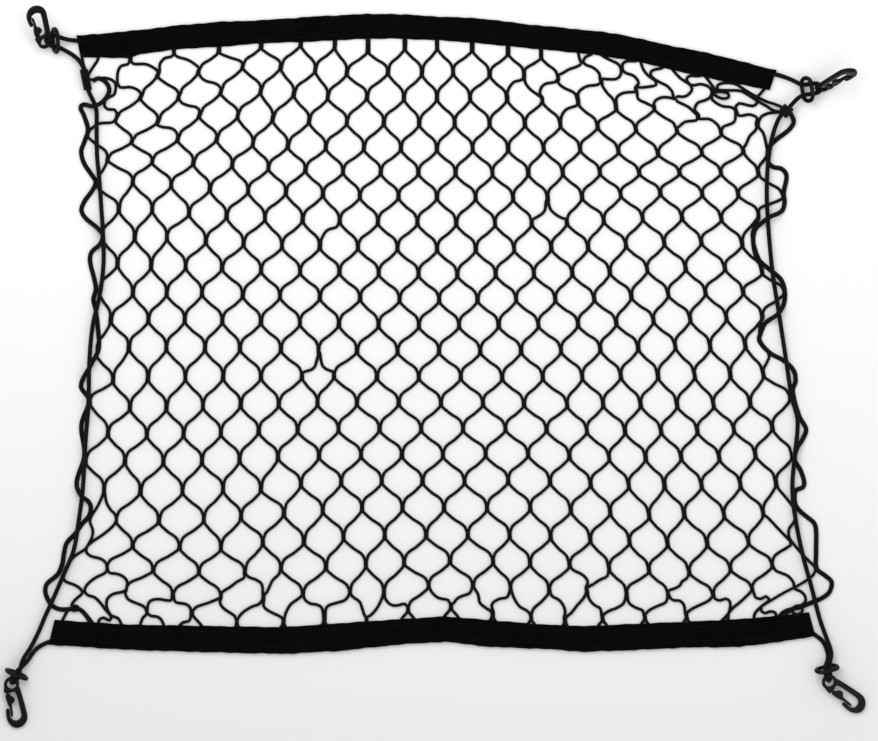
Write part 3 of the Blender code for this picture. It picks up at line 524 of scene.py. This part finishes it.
def wander(along, *periods):
    """A slow even unevenness from -1 to 1."""
    turns = [along / period * 2 * math.pi for period in periods]
    return sum(math.sin(turn + WAVE_SHIFT * number) for number, turn in enumerate(turns)) / len(periods)


class Stock:
    """Vertices, faces and the map of a mesh being made."""

    def __init__(self):
        self.verts, self.faces, self.map = [], [], []

    def tube(self, points, wide, high=None, sides=8, closed=False):
        """A round or flattened tube in metres; the map runs once round and along in metres."""
        points = np.asarray(points, float)
        high = wide if high is None else high
        if closed:
            ahead = np.roll(points, -1, 0) - np.roll(points, 1, 0)
        else:
            ahead = np.gradient(points, axis=0)
        ahead /= np.linalg.norm(ahead, axis=1)[:, None]
        side = np.cross(ahead[0], UP)
        if np.linalg.norm(side) < NEARLY_UPRIGHT:
            side = np.cross(ahead[0], (0.0, 1.0, 0.0))
        rows = []
        for way in ahead:
            side = np.cross(way, UP) if high != wide else side - way * side.dot(way)
            side /= np.linalg.norm(side)
            rows.append(side.copy())
        side = np.array(rows)
        up = np.cross(side, ahead)
        turn = np.arange(sides) / sides * 2 * math.pi
        ring = (points[:, None] + wide * np.cos(turn)[None, :, None] * side[:, None]
                + high * np.sin(turn)[None, :, None] * up[:, None])
        along = lengths(np.vstack([points, points[:1]]) if closed else points)
        self.skin(ring, np.arange(sides + 1) / sides, along, closed)

    def skin(self, rings, around, along, closed=False, turned=False):
        """Joins rings of points into one body; around and along are its map at each point and ring."""
        count = len(rings[0])
        first = len(self.verts)
        self.verts += [tuple(vert) for ring in rings for vert in ring]
        for station in range(len(rings) if closed else len(rings) - 1):
            here = first + station * count
            there = first + (station + 1) % len(rings) * count
            for index in range(count):
                after = (index + 1) % count
                face = [here + index, there + index, there + after, here + after]
                spot = [(around[index], along[station]), (around[index], along[station + 1]),
                        (around[index + 1], along[station + 1]), (around[index + 1], along[station])]
                if turned:
                    face, spot = face[::-1], spot[::-1]
                self.faces.append(tuple(face))
                self.map += spot
        if closed:
            return
        last = first + (len(rings) - 1) * count
        for cap, end in ((range(first, first + count), 0), (range(last, last + count)[::-1], -1)):
            self.faces.append(tuple(cap[::-1] if turned else cap))
            self.map += [(0.0, along[end])] * count

    def piece(self, name, finish, node_names=(), body=BODY):
        """The finished object, riding on its body."""
        mesh = bpy.data.meshes.new(name)
        mesh.from_pydata(self.verts, [], self.faces)
        layer = mesh.uv_layers.new(name="UVMap")
        layer.data.foreach_set("uv", np.array(self.map, np.float32).ravel())
        mesh.materials.append(finish)
        mesh.shade_smooth()
        return settle(added(name, mesh), node_names, body)


def added(name, data):
    """A new object in the scene with this data."""
    made = bpy.data.objects.new(name, data)
    bpy.context.scene.collection.objects.link(made)
    return made


def settle(made, node_names=(), body=BODY):
    """Rides a finished piece on its body and hides the solids it stands for."""
    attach(made, body)
    if node_names:
        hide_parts(*node_names)
    return made


def alone(made):
    """Selects one object and nothing else."""
    bpy.ops.object.select_all(action="DESELECT")
    made.select_set(True)
    bpy.context.view_layer.objects.active = made


# ---- finishes
class Finish:
    """A material and the nodes that are being joined up in it."""

    def __init__(self, name, colour, roughness, specular=0.5, sheen=0.0):
        self.material = bpy.data.materials.new(name)
        self.material.use_nodes = True
        self.nodes = self.material.node_tree.nodes
        self.links = self.material.node_tree.links
        self.shader = self.nodes["Principled BSDF"]
        for socket, value in (("Base Color", (*colour, 1.0)), ("Roughness", roughness),
                              ("Specular IOR Level", specular), ("Sheen Weight", sheen),
                              ("Sheen Roughness", 0.6)):
            self.shader.inputs[socket].default_value = value
        self.coords = self.nodes.new("ShaderNodeTexCoord")

    def node(self, kind, **inputs):
        """A node whose inputs are set to numbers or joined to other nodes' outputs."""
        node = self.nodes.new("ShaderNode" + kind)
        for name, value in inputs.items():
            self.feed(value, node.inputs[name])
        return node

    def feed(self, value, socket):
        """Sets a socket to a number, or joins it to an output."""
        if isinstance(value, (int, float)):
            socket.default_value = value
        else:
            self.links.new(value, socket)

    def maths(self, kind, first, second=0.0):
        """The outcome of one sum on two outputs or numbers."""
        node = self.node("Math")
        node.operation = kind
        self.feed(first, node.inputs[0])
        self.feed(second, node.inputs[1])
        return node.outputs[0]

    def noise(self, scale, detail=3.0, roughness=0.6):
        """A cloudy noise over the piece's own place."""
        place = self.coords.outputs["Object"]
        node = self.node("TexNoise", Vector=place, Scale=scale, Detail=detail, Roughness=roughness)
        return node.outputs["Fac"]

    def axes(self, output):
        """The three axes of a set of coordinates."""
        return self.node("SeparateXYZ", Vector=self.coords.outputs[output]).outputs

    def ramp(self, factor, stops, socket):
        """Leads a factor to the shader's socket through two stops: each its place and its colour."""
        node = self.node("ValToRGB", Fac=factor)
        for element, (place, colour) in zip(node.color_ramp.elements, stops):
            element.position = place
            element.color = (*colour, 1.0)
        self.feed(node.outputs["Color"], self.shader.inputs[socket])

    def relief(self, height, strength, depth):
        """A bump of the given depth in metres."""
        node = self.node("Bump", Height=height, Strength=strength, Distance=depth)
        self.feed(node.outputs["Normal"], self.shader.inputs["Normal"])

    def braid(self, strands, pitch):
        """Two sets of plies that cross as they run round and along the cord."""
        u, v = self.axes("UV")[:2]
        round_part = self.maths("MULTIPLY", u, strands * 2 * math.pi)
        along_part = self.maths("MULTIPLY", v, 2 * math.pi / pitch)
        first = self.maths("SINE", self.maths("ADD", round_part, along_part))
        second = self.maths("SINE", self.maths("SUBTRACT", round_part, along_part))
        return self.maths("MAXIMUM", first, second)


def shades(colour, low, high):
    """A darker and a lighter shade of a colour."""
    return tuple(value * low for value in colour), tuple(value * high for value in colour)


def cord_finish(name, colour, strands, pitch, roughness, depth):
    """A braided cord: crossing plies, painted lighter on their crests and darker between them as painted
    highlight and painted shade, a dusty unevenness and a faint sheen.
    """
    made = Finish(name, colour, roughness, specular=0.13, sheen=0.015)
    plies = made.braid(strands, pitch)
    fuzz = made.maths("MULTIPLY", made.noise(scale=2600.0, detail=2.0), 0.3)
    dust = made.maths("MULTIPLY", made.noise(scale=90.0), 0.9)
    # painted highlight and painted shade: the ply crests are made lighter and the grooves darker in the
    # colour, added to the dusty unevenness
    dark, light = shades(colour, 0.55, 1.5)
    dust_and_painted_shade = made.maths("ADD", made.maths("MULTIPLY", plies, 0.22), dust)
    made.ramp(dust_and_painted_shade, ((0.2, dark), (0.85, light)), "Base Color")
    made.relief(made.maths("ADD", plies, fuzz), 0.9, depth)
    return made.material


def cloth_finish(name, colour):
    """A dense plain weave: fine warp and weft, with painted shade in the weave's hollows and a painted
    highlight on its crests, and a slightly dusty unevenness.
    """
    made = Finish(name, colour, roughness=0.95, specular=0.04, sheen=0.01)
    u, v = made.axes("UV")[:2]
    warp = made.maths("SINE", made.maths("MULTIPLY", u, 2 * math.pi / WARP_PITCH))
    weft = made.maths("SINE", made.maths("MULTIPLY", v, 2 * math.pi / WEFT_PITCH))
    weave = made.maths("MULTIPLY", warp, weft)
    dust = made.noise(scale=55.0, detail=5.0, roughness=0.65)
    # painted shade and painted highlight: the weave's hollows are made darker and its crests lighter in
    # the colour, added to the dust
    dust_and_painted_shade = made.maths("ADD", dust, made.maths("MULTIPLY", weave, 0.06))
    dark, light = shades(colour, 0.5, 1.9)
    made.ramp(dust_and_painted_shade, ((0.3, dark), (0.75, light)), "Base Color")
    folds = made.maths("MULTIPLY", made.noise(scale=160.0, detail=2.0), 0.8)
    made.relief(made.maths("ADD", made.maths("MULTIPLY", weave, 0.5), folds), 0.55, 0.00035)
    return made.material


def plastic_finish(name, colour):
    """Moulded nylon: a fine satin grain, rubbed a little smoother here and there."""
    made = Finish(name, colour, roughness=0.42, specular=0.14)
    grain = made.maths("MULTIPLY", made.noise(scale=3200.0), 0.5)
    rub = made.noise(scale=130.0, detail=4.0)
    dark, light = shades(colour, 0.75, 1.35)
    satin, rubbed = shades((1.0, 1.0, 1.0), 0.5, 0.36)
    made.ramp(rub, ((0.3, dark), (0.72, light)), "Base Color")
    made.ramp(rub, ((0.25, satin), (0.75, rubbed)), "Roughness")
    made.relief(made.maths("ADD", grain, rub), 0.25, 0.00012)
    return made.material


# ---- sizes and colours that can be changed
class CargoNetSettings(PropertyGroup):
    yarn: FloatProperty(
        name="Yarn", description="Thickness of the net's yarn", default=0.0031, unit="LENGTH")
    side_yarn: FloatProperty(
        name="Side yarn", description="Width of the thick yarn at the net's sides",
        default=0.0047, unit="LENGTH")
    elastic: FloatProperty(
        name="Elastic", description="Thickness of the elastic", default=0.0045, unit="LENGTH")
    ring: FloatProperty(
        name="Ring", description="Thickness of the keeper rings", default=0.0042, unit="LENGTH")
    hook: FloatProperty(
        name="Hook", description="Thickness of the hooks", default=0.0042, unit="LENGTH")
    gate: FloatProperty(
        name="Gate", description="Thickness of the hooks' gates", default=0.0036, unit="LENGTH")
    stitch: FloatProperty(
        name="Stitch", description="Length of one stitch", default=0.0032, unit="LENGTH")
    yarn_sides: IntProperty(
        name="Yarn sides", description="Faces round a net yarn", default=8, min=3)
    yarn_colour: FloatVectorProperty(
        name="Yarn colour", description="Colour of the net's yarn",
        default=(0.0022, 0.0021, 0.0020), subtype="COLOR")
    elastic_colour: FloatVectorProperty(
        name="Elastic colour", description="Colour of the elastics",
        default=(0.0018, 0.0018, 0.0019), subtype="COLOR")
    band_colour: FloatVectorProperty(
        name="Band colour", description="Colour of the cloth bands",
        default=(0.0011, 0.0011, 0.0014), subtype="COLOR")
    hook_colour: FloatVectorProperty(
        name="Hook colour", description="Colour of the hooks and rings",
        default=(0.0022, 0.0022, 0.0023), subtype="COLOR")
    # the floor is painted darker towards the net's foot: this colour is painted shade for the light
    # falling off there, and floor_far is the lit colour at the other end
    floor_painted_shade: FloatVectorProperty(
        name="Floor, near", description="Colour of the floor below the net",
        default=(0.755, 0.755, 0.767), subtype="COLOR")
    floor_far: FloatVectorProperty(
        name="Floor, far", description="Colour of the floor above the net",
        default=(0.95, 0.95, 0.955), subtype="COLOR")


def settings():
    """The sizes and colours that are set."""
    return bpy.context.scene.cargo_net


# ---- the camera, the floor and the light
class CARGONET_OT_stage(Operator):
    """Sets the camera straight above the net, a pale floor under it with painted shade darkening it
    towards the net's foot, and soft light over it
    """

    bl_idname = "cargo_net.stage"
    bl_label = "Stage"

    def execute(self, context):
        data = bpy.data.cameras.new("camera")
        data.sensor_width = SENSOR
        data.lens = SENSOR * CAMERA_HEIGHT / FIELD_WIDTH
        data.clip_end = CAMERA_HEIGHT + FLOOR_SIZE + 2.0
        camera = added("camera", data)
        camera.location = at(*PICTURE_MIDDLE) + Vector((0.0, 0.0, CAMERA_HEIGHT))
        context.scene.camera = camera

        bpy.ops.object.select_all(action="DESELECT")
        bpy.ops.mesh.primitive_plane_add(size=FLOOR_SIZE, location=(0.0, 0.0, -FLOOR_DROP))
        floor = context.active_object
        floor.name = "floor"
        bpy.ops.object.transform_apply(location=True, rotation=True, scale=True)
        # painted shade: the floor's colour runs from the far colour down to the darker near one towards
        # the net's foot, standing in for the light falling off there
        near, far = tuple(settings().floor_painted_shade), tuple(settings().floor_far)
        card = Finish("floor_card", far, roughness=0.9, specular=0.1)
        card.ramp(card.maths("ADD", card.axes("Object")[1], 0.5), ((0.1, near), (0.85, far)), "Base Color")
        floor.data.materials.append(card.material)

        sky = bpy.data.worlds.new("studio")
        sky.use_nodes = True
        background = sky.node_tree.nodes["Background"]
        background.inputs["Color"].default_value = (1.0, 1.0, 1.0, 1.0)
        background.inputs["Strength"].default_value = SKY_STRENGTH
        context.scene.world = sky
        for name, place, size, power in SOFTBOXES:
            light = bpy.data.lights.new(name, "AREA")
            light.size = size
            light.energy = power
            lamp = added(name, light)
            lamp.location = place
            lamp.rotation_euler = (-Vector(place)).to_track_quat("-Z", "Y").to_euler()
        context.scene.view_settings.view_transform = "Standard"
        return {"FINISHED"}


# ---- the corners: each hook's frame, its keeper ring and the cord's turn through its eye
def hook_matrix(key):
    """A hook's frame: across it, toward its tip and out of its face, at its eye's middle."""
    corner = HOOKS[key]
    forward = (at(*corner.tip) - at(*corner.eye)).normalized()
    across = forward.cross(Vector((0, 0, corner.face))).normalized()
    normal = across.cross(forward).normalized()
    turn = Matrix.Rotation(math.radians(-corner.roll), 3, forward)
    made = Matrix.Identity(4)
    for column, value in enumerate((turn @ across, forward, turn @ normal, at(*corner.eye))):
        for row in range(3):
            made[row][column] = value[row]
    return made


def lead(key):
    """At a hook: the eye's middle, the way the cord leaves, the way beside it, and the plate's normal."""
    hook = hook_matrix(key)
    normal = hook.col[2].xyz
    x, y, z = HOOKS[key].leaves
    out = Vector((x, -y, z))
    out = (out - normal * out.dot(normal)).normalized()
    return hook.col[3].xyz, out, normal.cross(out), normal


def keeper(key):
    """The keeper ring's middle, the way it stands up, its long axis and its lean in radians."""
    corner = HOOKS[key]
    eye, out, beside, normal = lead(key)
    step, height = corner.apart
    along = (beside * step + normal * height).normalized()
    upward = out.cross(along)
    if upward.z < 0:
        upward = -upward
    return eye + out * corner.ring_out * MM, upward, along, math.radians(corner.ring_lean)


def bight(key, ring_r, cord_r):
    """The cord from outside the keeper ring, through the eye and back out, as points."""
    eye, out, beside, normal = lead(key)
    upward, _, lean = keeper(key)[1:]
    step, height = HOOKS[key].apart
    away = HOOKS[key].ring_out
    bend = RING_SHORT / 2 - ring_r
    sway = max(ring_r + cord_r + RING_CLEAR - bend * math.sin(lean), 0.0)
    reach = bend * math.cos(lean)
    made = []
    for sign in (1.0, -1.0):
        run = []
        aside = sign * PINCH[key] * (beside * step + normal * height)
        for outward, rise in ((reach, sway), (0.0, 0.0), (-reach, -sway)):
            run.append(eye + (out * (away + outward) + aside + upward * rise) * MM)
        if math.cos(lean) < NEARLY_UPRIGHT:
            run = run[:1]
        for outward, share, up in BIGHT:
            if outward < away - reach - 1.0:
                over = math.copysign(up, height)
                run.append(eye + (out * outward + sign * (beside * step * share + normal * over)) * MM)
        made += run if sign > 0 else run[::-1]
    return [((p[0] / MM) + MIDDLE_X, MIDDLE_Y - p[1] / MM, p[2] / MM) for p in made]


def elastic_route(start, upper, side, lower, end):
    """The whole run of one side's elastic: band, upper hook, side, lower hook, band."""
    route = laid([*start, *upper, *side, *lower, *end], ELASTIC_SPACING, ELASTIC_LOWEST)
    for _ in range(EVENED):
        route[1:-1] += (route[:-2] + route[2:] - 2 * route[1:-1]) * 0.25
    return route


def coil(low, high, turns, radius, each):
    """Points of a winding from one end to the other, so many to each turn."""
    way = (high - low) / np.linalg.norm(high - low)
    side = np.cross(way, UP)
    side /= np.linalg.norm(side)
    up = np.cross(side, way)
    count = int(turns * each)
    made = []
    for index in range(count + 1):
        part = index / count
        angle = part * turns * 2 * math.pi
        made.append(low + (high - low) * part + radius * (side * math.cos(angle) + up * math.sin(angle)))
    return np.array(made)


class CARGONET_OT_elastics(Operator):
    """Lays the two side elastics from band end to band end, through the hooks' eyes"""

    bl_idname = "cargo_net.elastics"
    bl_label = "Elastics"

    def execute(self, context):
        own = settings()
        radii = own.ring / 2 / MM, own.elastic / 2 / MM
        finish = cord_finish("elastic_cover", own.elastic_colour,
                             strands=6, pitch=0.0044, roughness=0.72, depth=0.0006)
        for name, start, upper, side, lower, end, length in (
                ("left", LEFT_START, "tl", LEFT_SIDE, "bl", LEFT_END, 0.79),
                ("right", RIGHT_START, "tr", RIGHT_SIDE, "br", RIGHT_END, 0.745)):
            points = elastic_route(start, bight(upper, *radii), side, bight(lower, *radii), end)
            stock = Stock()
            stock.tube(points, own.elastic / 2, sides=12)
            made = stock.piece("elastic_%s_cord" % name, finish, ["elastic_" + name])
            whip = self.whipping(own, finish) if name == "left" else self.knot(own)
        return {"FINISHED"}

    def whipping(self, own, finish):
        """Close turns of thin cord round the left elastic."""
        low, high = world(WHIP_ENDS)
        stock = Stock()
        around = own.elastic / 2 + WHIP_R * 0.98
        stock.tube(coil(low, high, WHIP_TURNS, around, each=14), WHIP_R, sides=8)
        return stock.piece("whipping_turns", finish, ["whipping_left"])

    def knot(self, own):
        """A few turns and a crossing of net yarn pulled tight round the right elastic."""
        finish = cord_finish("knot_yarn", own.yarn_colour,
                             strands=4, pitch=0.0042, roughness=0.78, depth=0.0005)
        low, high = world(KNOT_ENDS)
        middle, way = (low + high) / 2, (high - low) / np.linalg.norm(high - low)
        half = way * KNOT_HALF_LONG
        stock = Stock()
        turns = coil(middle - half, middle + half, KNOT_TURNS, own.elastic / 2 + KNOT_R * 0.95, each=18)
        stock.tube(turns, KNOT_R, sides=8)
        side = np.cross(way, UP)
        over = [middle + way * along - side * aside + np.array((0, 0, rise))
                for along, aside, rise in KNOT_CROSSING]
        stock.tube(eased(over, 0.001), KNOT_R * 0.92, sides=8)
        return stock.piece("knot_turns", finish, ["knot_right"])


# ---- the net
def edge_y(table, x, column):
    """How far down a band's edge lies at x."""
    return float(np.interp(x, [line[0] for line in table], [line[column] for line in table]))


def lean(row, column):
    """How far a knot leans to the right, as a share of its height."""
    if column > LEVEL_COLUMN:
        return max((LEVEL_COLUMN - column) * LEAN_RIGHT, -LEAN_MOST)
    share = min(max((FADED_ROW - row) / FADE_ROWS, FADED_SHARE), 1.0)
    return (LEVEL_COLUMN - column) * LEAN_LEFT * share


def knot_pull(down, above, below):
    """How far the leaning knots at its two ends draw a leg sideways, at a share of the way down."""
    return LEAN_PULL * (below * down ** 3 - above * (1 - down) ** 3)


def strand(between):
    """One yarn's zigzag down the net, just right of the column it is named for: x, y, z."""
    first, head = HEADS.get(between, (0, ()))
    last, tail = TAILS.get(between, (KNOT_ROWS, ()))
    path = list(head)
    for row in range(first, last + 1):
        right_side = (row + between) % 2 == 0
        way = 1.0 if right_side else -1.0
        other = between + 1 if right_side else between
        column = between if right_side else between + 1
        x, y = knot(row, column)
        tilt = lean(row, column)
        if row == 0:
            top = min(edge_y(BAND_TOP, x, 2), y) - 6.0
            path += [(x + way * 0.9, top), (x + way * 0.9, y - 1.0)]
        else:
            path += [(x + way * 0.85 + KNOT_ABOVE * tilt, y - KNOT_ABOVE),
                     (x + way * 0.8 - KNOT_BELOW * tilt, y + KNOT_BELOW)]
        if row < last:
            across, down = knot(row + 1, other) - (x, y)
            next_tilt = lean(row + 1, other)
            leg = [(x + across * a + knot_pull(b, tilt, next_tilt), y + down * b) for a, b in LEG]
            path += OWN_LEGS.get((between, row)) or leg
        elif row == KNOT_ROWS:
            edge = edge_y(BAND_BOTTOM, x, 2)
            splay = max(edge - y - KNOT_TO_BAND, 0.0) * 0.9
            path += [(x + way * 1.3, y + KNOT_TO_BAND), (x + way * (1.6 + splay), edge + 1.0),
                     (x + way * (2.0 + splay), edge + 7.0)]
    path += tail
    return [(*point[:2], point[2] if len(point) > 2 else YARN_HEIGHT) for point in path]


class CARGONET_OT_net(Operator):
    """Makes the net's meshes from zigzag yarns that lie side by side at each knot"""

    bl_idname = "cargo_net.net"
    bl_label = "Net"

    def execute(self, context):
        own = settings()
        finish = cord_finish("net_yarn", own.yarn_colour,
                             strands=4, pitch=0.0040, roughness=0.78, depth=0.0005)
        stock = Stock()
        half = own.yarn / 2
        for between in range(KNOT_COLUMNS[0], KNOT_COLUMNS[-1]):
            path = [(x + YARN_WANDER * wander(y + 40 * between, 61, 23), y, z)
                    for x, y, z in strand(between)]
            stock.tube(laid(path, YARN_SPACING, half / MM), half, sides=own.yarn_sides)
        for run in CORNER_RUNS.values():
            stock.tube(laid(run, RUN_SPACING, half / MM), half, sides=own.yarn_sides)
        made = stock.piece("net_meshes", finish, ["net"])
        flat_half = own.side_yarn * SIDE_YARN_FLAT
        for name, table in (("left", SIDE_LEFT), ("right", SIDE_RIGHT)):
            stock = Stock()
            stock.tube(laid(table, SIDE_SPACING, flat_half / MM), own.side_yarn / 2, flat_half, sides=10)
            stock.piece("side_yarn_" + name, finish)
        return {"FINISHED"}


# ---- the bands
def band_shape(name, table):
    """The folded band as rings of its section in metres, and the middle line of each row of stitches."""
    skew = BAND_SKEW[name]
    start, end = table[0][0], table[-1][0]
    stations = int((end - start) / BAND_SPACING)
    rows = [[] for _ in STITCH_ROWS]
    rings = []
    for station in range(stations + 1):
        part = station / stations
        x = start + (end - start) * part
        outer_x, inner_x = (x + at_start * (1 - part) + at_end * part for at_start, at_end in skew)
        outer = np.array((outer_x, edge_y(table, outer_x, 1) + OUTER_WANDER * wander(x, 47, 21, 13)))
        inner = np.array((inner_x, edge_y(table, inner_x, 2) + INNER_WANDER * wander(x + 9, 38, 17)))
        width = np.linalg.norm(inner - outer)
        way = (inner - outer) / width
        swell = 1.0 + BAND_SWELL * wander(x + 3, 31, 11)
        pucker = BAND_PUCKER * wander(x, 8.4, 5.1)
        section = list(BAND_OUTER_SECTION)
        section += [(width + inward, height) for inward, height in BAND_INNER_SECTION]
        ring = []
        for inward, height in section:
            spot = outer + way * inward
            lifted = height * (swell if height > 1 else 1.0) + (pucker if height > PUCKER_OVER else 0.0)
            ring.append((spot[0], spot[1], lifted))
        rings.append(world(ring))
        for row, inward in zip(rows, STITCH_ROWS):
            spot = outer + way * (inward if inward > 0 else width + inward)
            row.append((spot[0], spot[1], STITCH_HEIGHT))
    return rings, rows


class CARGONET_OT_bands(Operator):
    """Folds the two cloth bands and sews them with two rows of stitches each"""

    bl_idname = "cargo_net.bands"
    bl_label = "Bands"

    def execute(self, context):
        own = settings()
        cloth = cloth_finish("band_cloth", own.band_colour)
        thread = cord_finish("band_thread", shades(own.band_colour, 1.0, 1.4)[1],
                             strands=2, pitch=0.0012, roughness=0.9, depth=0.0001)
        for name, table, flat in (("top", BAND_TOP, (0.71, 0.030)),
                                  ("bottom", BAND_BOTTOM, (0.77, 0.030))):
            rings, rows = band_shape(name, table)
            stock = Stock()
            around = lengths(np.vstack([rings[0], rings[0][:1]]))
            stock.skin(rings, around, lengths([ring[0] for ring in rings]), turned=name == "top")
            band = stock.piece("band_%s_cloth" % name, cloth, ["band_" + name])
            stitches = Stock()
            for row in rows:
                self.sew(stitches, world(eased(row, 0.4)), own.stitch)
            sewn = stitches.piece("band_%s_stitches" % name, thread)
        return {"FINISHED"}

    def sew(self, stock, path, stitch):
        """One row of stitches, each rising from the cloth and dipping back into it."""
        length = lengths(path)
        pitch = STITCH_PITCH
        for number in range(int(length[-1] / (stitch * pitch))):
            middle = (number + 0.6) * stitch * pitch
            spots = []
            for share, rise in STITCH_SHAPE:
                end = middle + share * stitch
                x, y, z = (float(np.interp(end, length, path[:, axis])) for axis in range(3))
                spots.append((x, y, z + rise))
            stock.tube(spots, THREAD_R, sides=5)


# ---- the hooks, gates and rings
def arc(radius, start, end, count, middle=(0.0, 0.0)):
    """Points of an arc, from one angle to another in degrees."""
    angles = [math.radians(start + (end - start) * index / (count - 1)) for index in range(count)]
    x, y = middle
    return [(x + radius * math.cos(angle), y + radius * math.sin(angle)) for angle in angles]


def rounded(points, spacing):
    """A closed outline eased through its points."""
    closed = list(points[-2:]) + list(points) + list(points[:2])
    whole = eased([(*point, 0.0) for point in closed], spacing)[:, :2]
    away = np.linalg.norm(whole - np.array(points[0]), axis=1)
    half = len(whole) // 2 + 1
    first, last = int(np.argmin(away[:half])), half + int(np.argmin(away[half:]))
    return [tuple(spot) for spot in whole[first:last]]


def moulded(name, loops, thick, edge):
    """A flat moulded plate with well rounded edges, in metres, in its own plane."""
    data = bpy.data.curves.new(name, "CURVE")
    data.dimensions = "2D"
    data.fill_mode = "BOTH"
    data.extrude = (thick / 2 - edge) * MM
    data.bevel_depth = edge * MM
    data.bevel_resolution = 3
    data.offset = -edge * MM
    for loop in loops:
        spline = data.splines.new("POLY")
        spline.points.add(len(loop) - 1)
        for point, (u, v) in zip(spline.points, loop):
            point.co = (u * MM, v * MM, 0.0, 1.0)
        spline.use_cyclic_u = True
    alone(added(name, data))
    bpy.ops.object.convert(target="MESH")
    made = bpy.context.active_object
    bpy.ops.object.mode_set(mode="EDIT")
    bpy.ops.mesh.select_all(action="SELECT")
    bpy.ops.mesh.remove_doubles(threshold=0.000002)
    bpy.ops.mesh.normals_make_consistent(inside=False)
    bpy.ops.object.mode_set(mode="OBJECT")
    bpy.ops.object.shade_smooth_by_angle(angle=math.radians(50))
    bpy.ops.object.modifier_add(type="WEIGHTED_NORMAL")
    made.modifiers[-1].keep_sharp = True
    bpy.ops.object.modifier_apply(modifier=made.modifiers[-1].name)
    return made


def put(model, name, matrix, finish, nodes, body):
    """A copy of a plate with its own mesh, its place in that mesh."""
    mesh = model.data.copy()
    mesh.name = name
    mesh.transform(matrix)
    mesh.materials.clear()
    mesh.materials.append(finish)
    return settle(added(name, mesh), nodes, body)


class CARGONET_OT_hooks(Operator):
    """Moulds one snap hook and its gate, and sets a copy of each at every corner"""

    bl_idname = "cargo_net.hooks"
    bl_label = "Hooks"

    def execute(self, context):
        own = settings()
        finish = plastic_finish("hook_plastic", own.hook_colour)
        outline = rounded(arc(HOOK_EYE_R, 20, -190, 15) + list(HOOK_OUTER), 0.9)
        hole = arc(HOOK_EYE_HOLE, 0, 345, 24)
        hook = moulded("hook_model", [outline, hole], own.hook / MM, HOOK_EDGE)
        outline = rounded(arc(GATE_R, 170, 350, 9, GATE_PIVOT) + list(GATE_OUTER), 0.8)
        gate = moulded("gate_model", [outline], own.gate / MM, GATE_EDGE)
        for key in HOOKS:
            place = hook_matrix(key)
            put(hook, "snap_hook_" + key, place, finish, ["hook_" + key], BODY)
            put(gate, "snap_gate_" + key, place, finish, ["gate_" + key], "gate_" + key)
        for model in (hook, gate):
            mesh = model.data
            bpy.data.objects.remove(model)
            bpy.data.meshes.remove(mesh)
        return {"FINISHED"}


class CARGONET_OT_rings(Operator):
    """Bends the oval keeper rings that gather the elastic at each hook"""

    bl_idname = "cargo_net.rings"
    bl_label = "Rings"

    def execute(self, context):
        own = settings()
        finish = plastic_finish("ring_plastic", own.hook_colour)
        radius = own.ring / 2
        bend = RING_SHORT / 2 * MM - radius
        straight = (RING_LONG - RING_SHORT) / 2 * MM
        for key in HOOKS:
            middle, upward, along, lean_angle = keeper(key)
            across = upward * math.sin(lean_angle) - lead(key)[1] * math.cos(lean_angle)
            points = []
            for side, start in ((1.0, -90.0), (-1.0, 90.0)):
                for step in range(RING_STEPS + 1):
                    angle = math.radians(start + 180.0 / RING_STEPS * step)
                    u = side * straight + bend * math.cos(angle)
                    points.append(middle + along * u + across * bend * math.sin(angle))
            stock = Stock()
            stock.tube(points, radius, sides=16, closed=True)
            stock.piece("keeper_ring_" + key, finish, ["ring_" + key])
        return {"FINISHED"}


class CARGONET_PT_panel(Panel):
    """Lists the pieces of the cargo net"""

    bl_idname = "CARGONET_PT_panel"
    bl_label = "Cargo net"
    bl_space_type = "VIEW_3D"
    bl_region_type = "UI"
    bl_category = "Cargo net"

    def draw(self, context):
        for name in CargoNetSettings.__annotations__:
            self.layout.prop(context.scene.cargo_net, name)
        for step in STEPS:
            self.layout.operator(step.bl_idname)


STEPS = (CARGONET_OT_stage, CARGONET_OT_elastics, CARGONET_OT_net, CARGONET_OT_bands,
         CARGONET_OT_hooks, CARGONET_OT_rings)
CLASSES = (CargoNetSettings, *STEPS, CARGONET_PT_panel)


def register():
    for each in CLASSES:
        bpy.utils.register_class(each)
    bpy.types.Scene.cargo_net = PointerProperty(type=CargoNetSettings)


def unregister():
    del bpy.types.Scene.cargo_net
    for each in reversed(CLASSES):
        bpy.utils.unregister_class(each)


def main():
    register()
    bpy.ops.cargo_net.stage()
    bpy.ops.cargo_net.elastics()
    bpy.ops.cargo_net.net()
    bpy.ops.cargo_net.bands()
    bpy.ops.cargo_net.hooks()
    bpy.ops.cargo_net.rings()


if __name__ == "__main__":
    main()
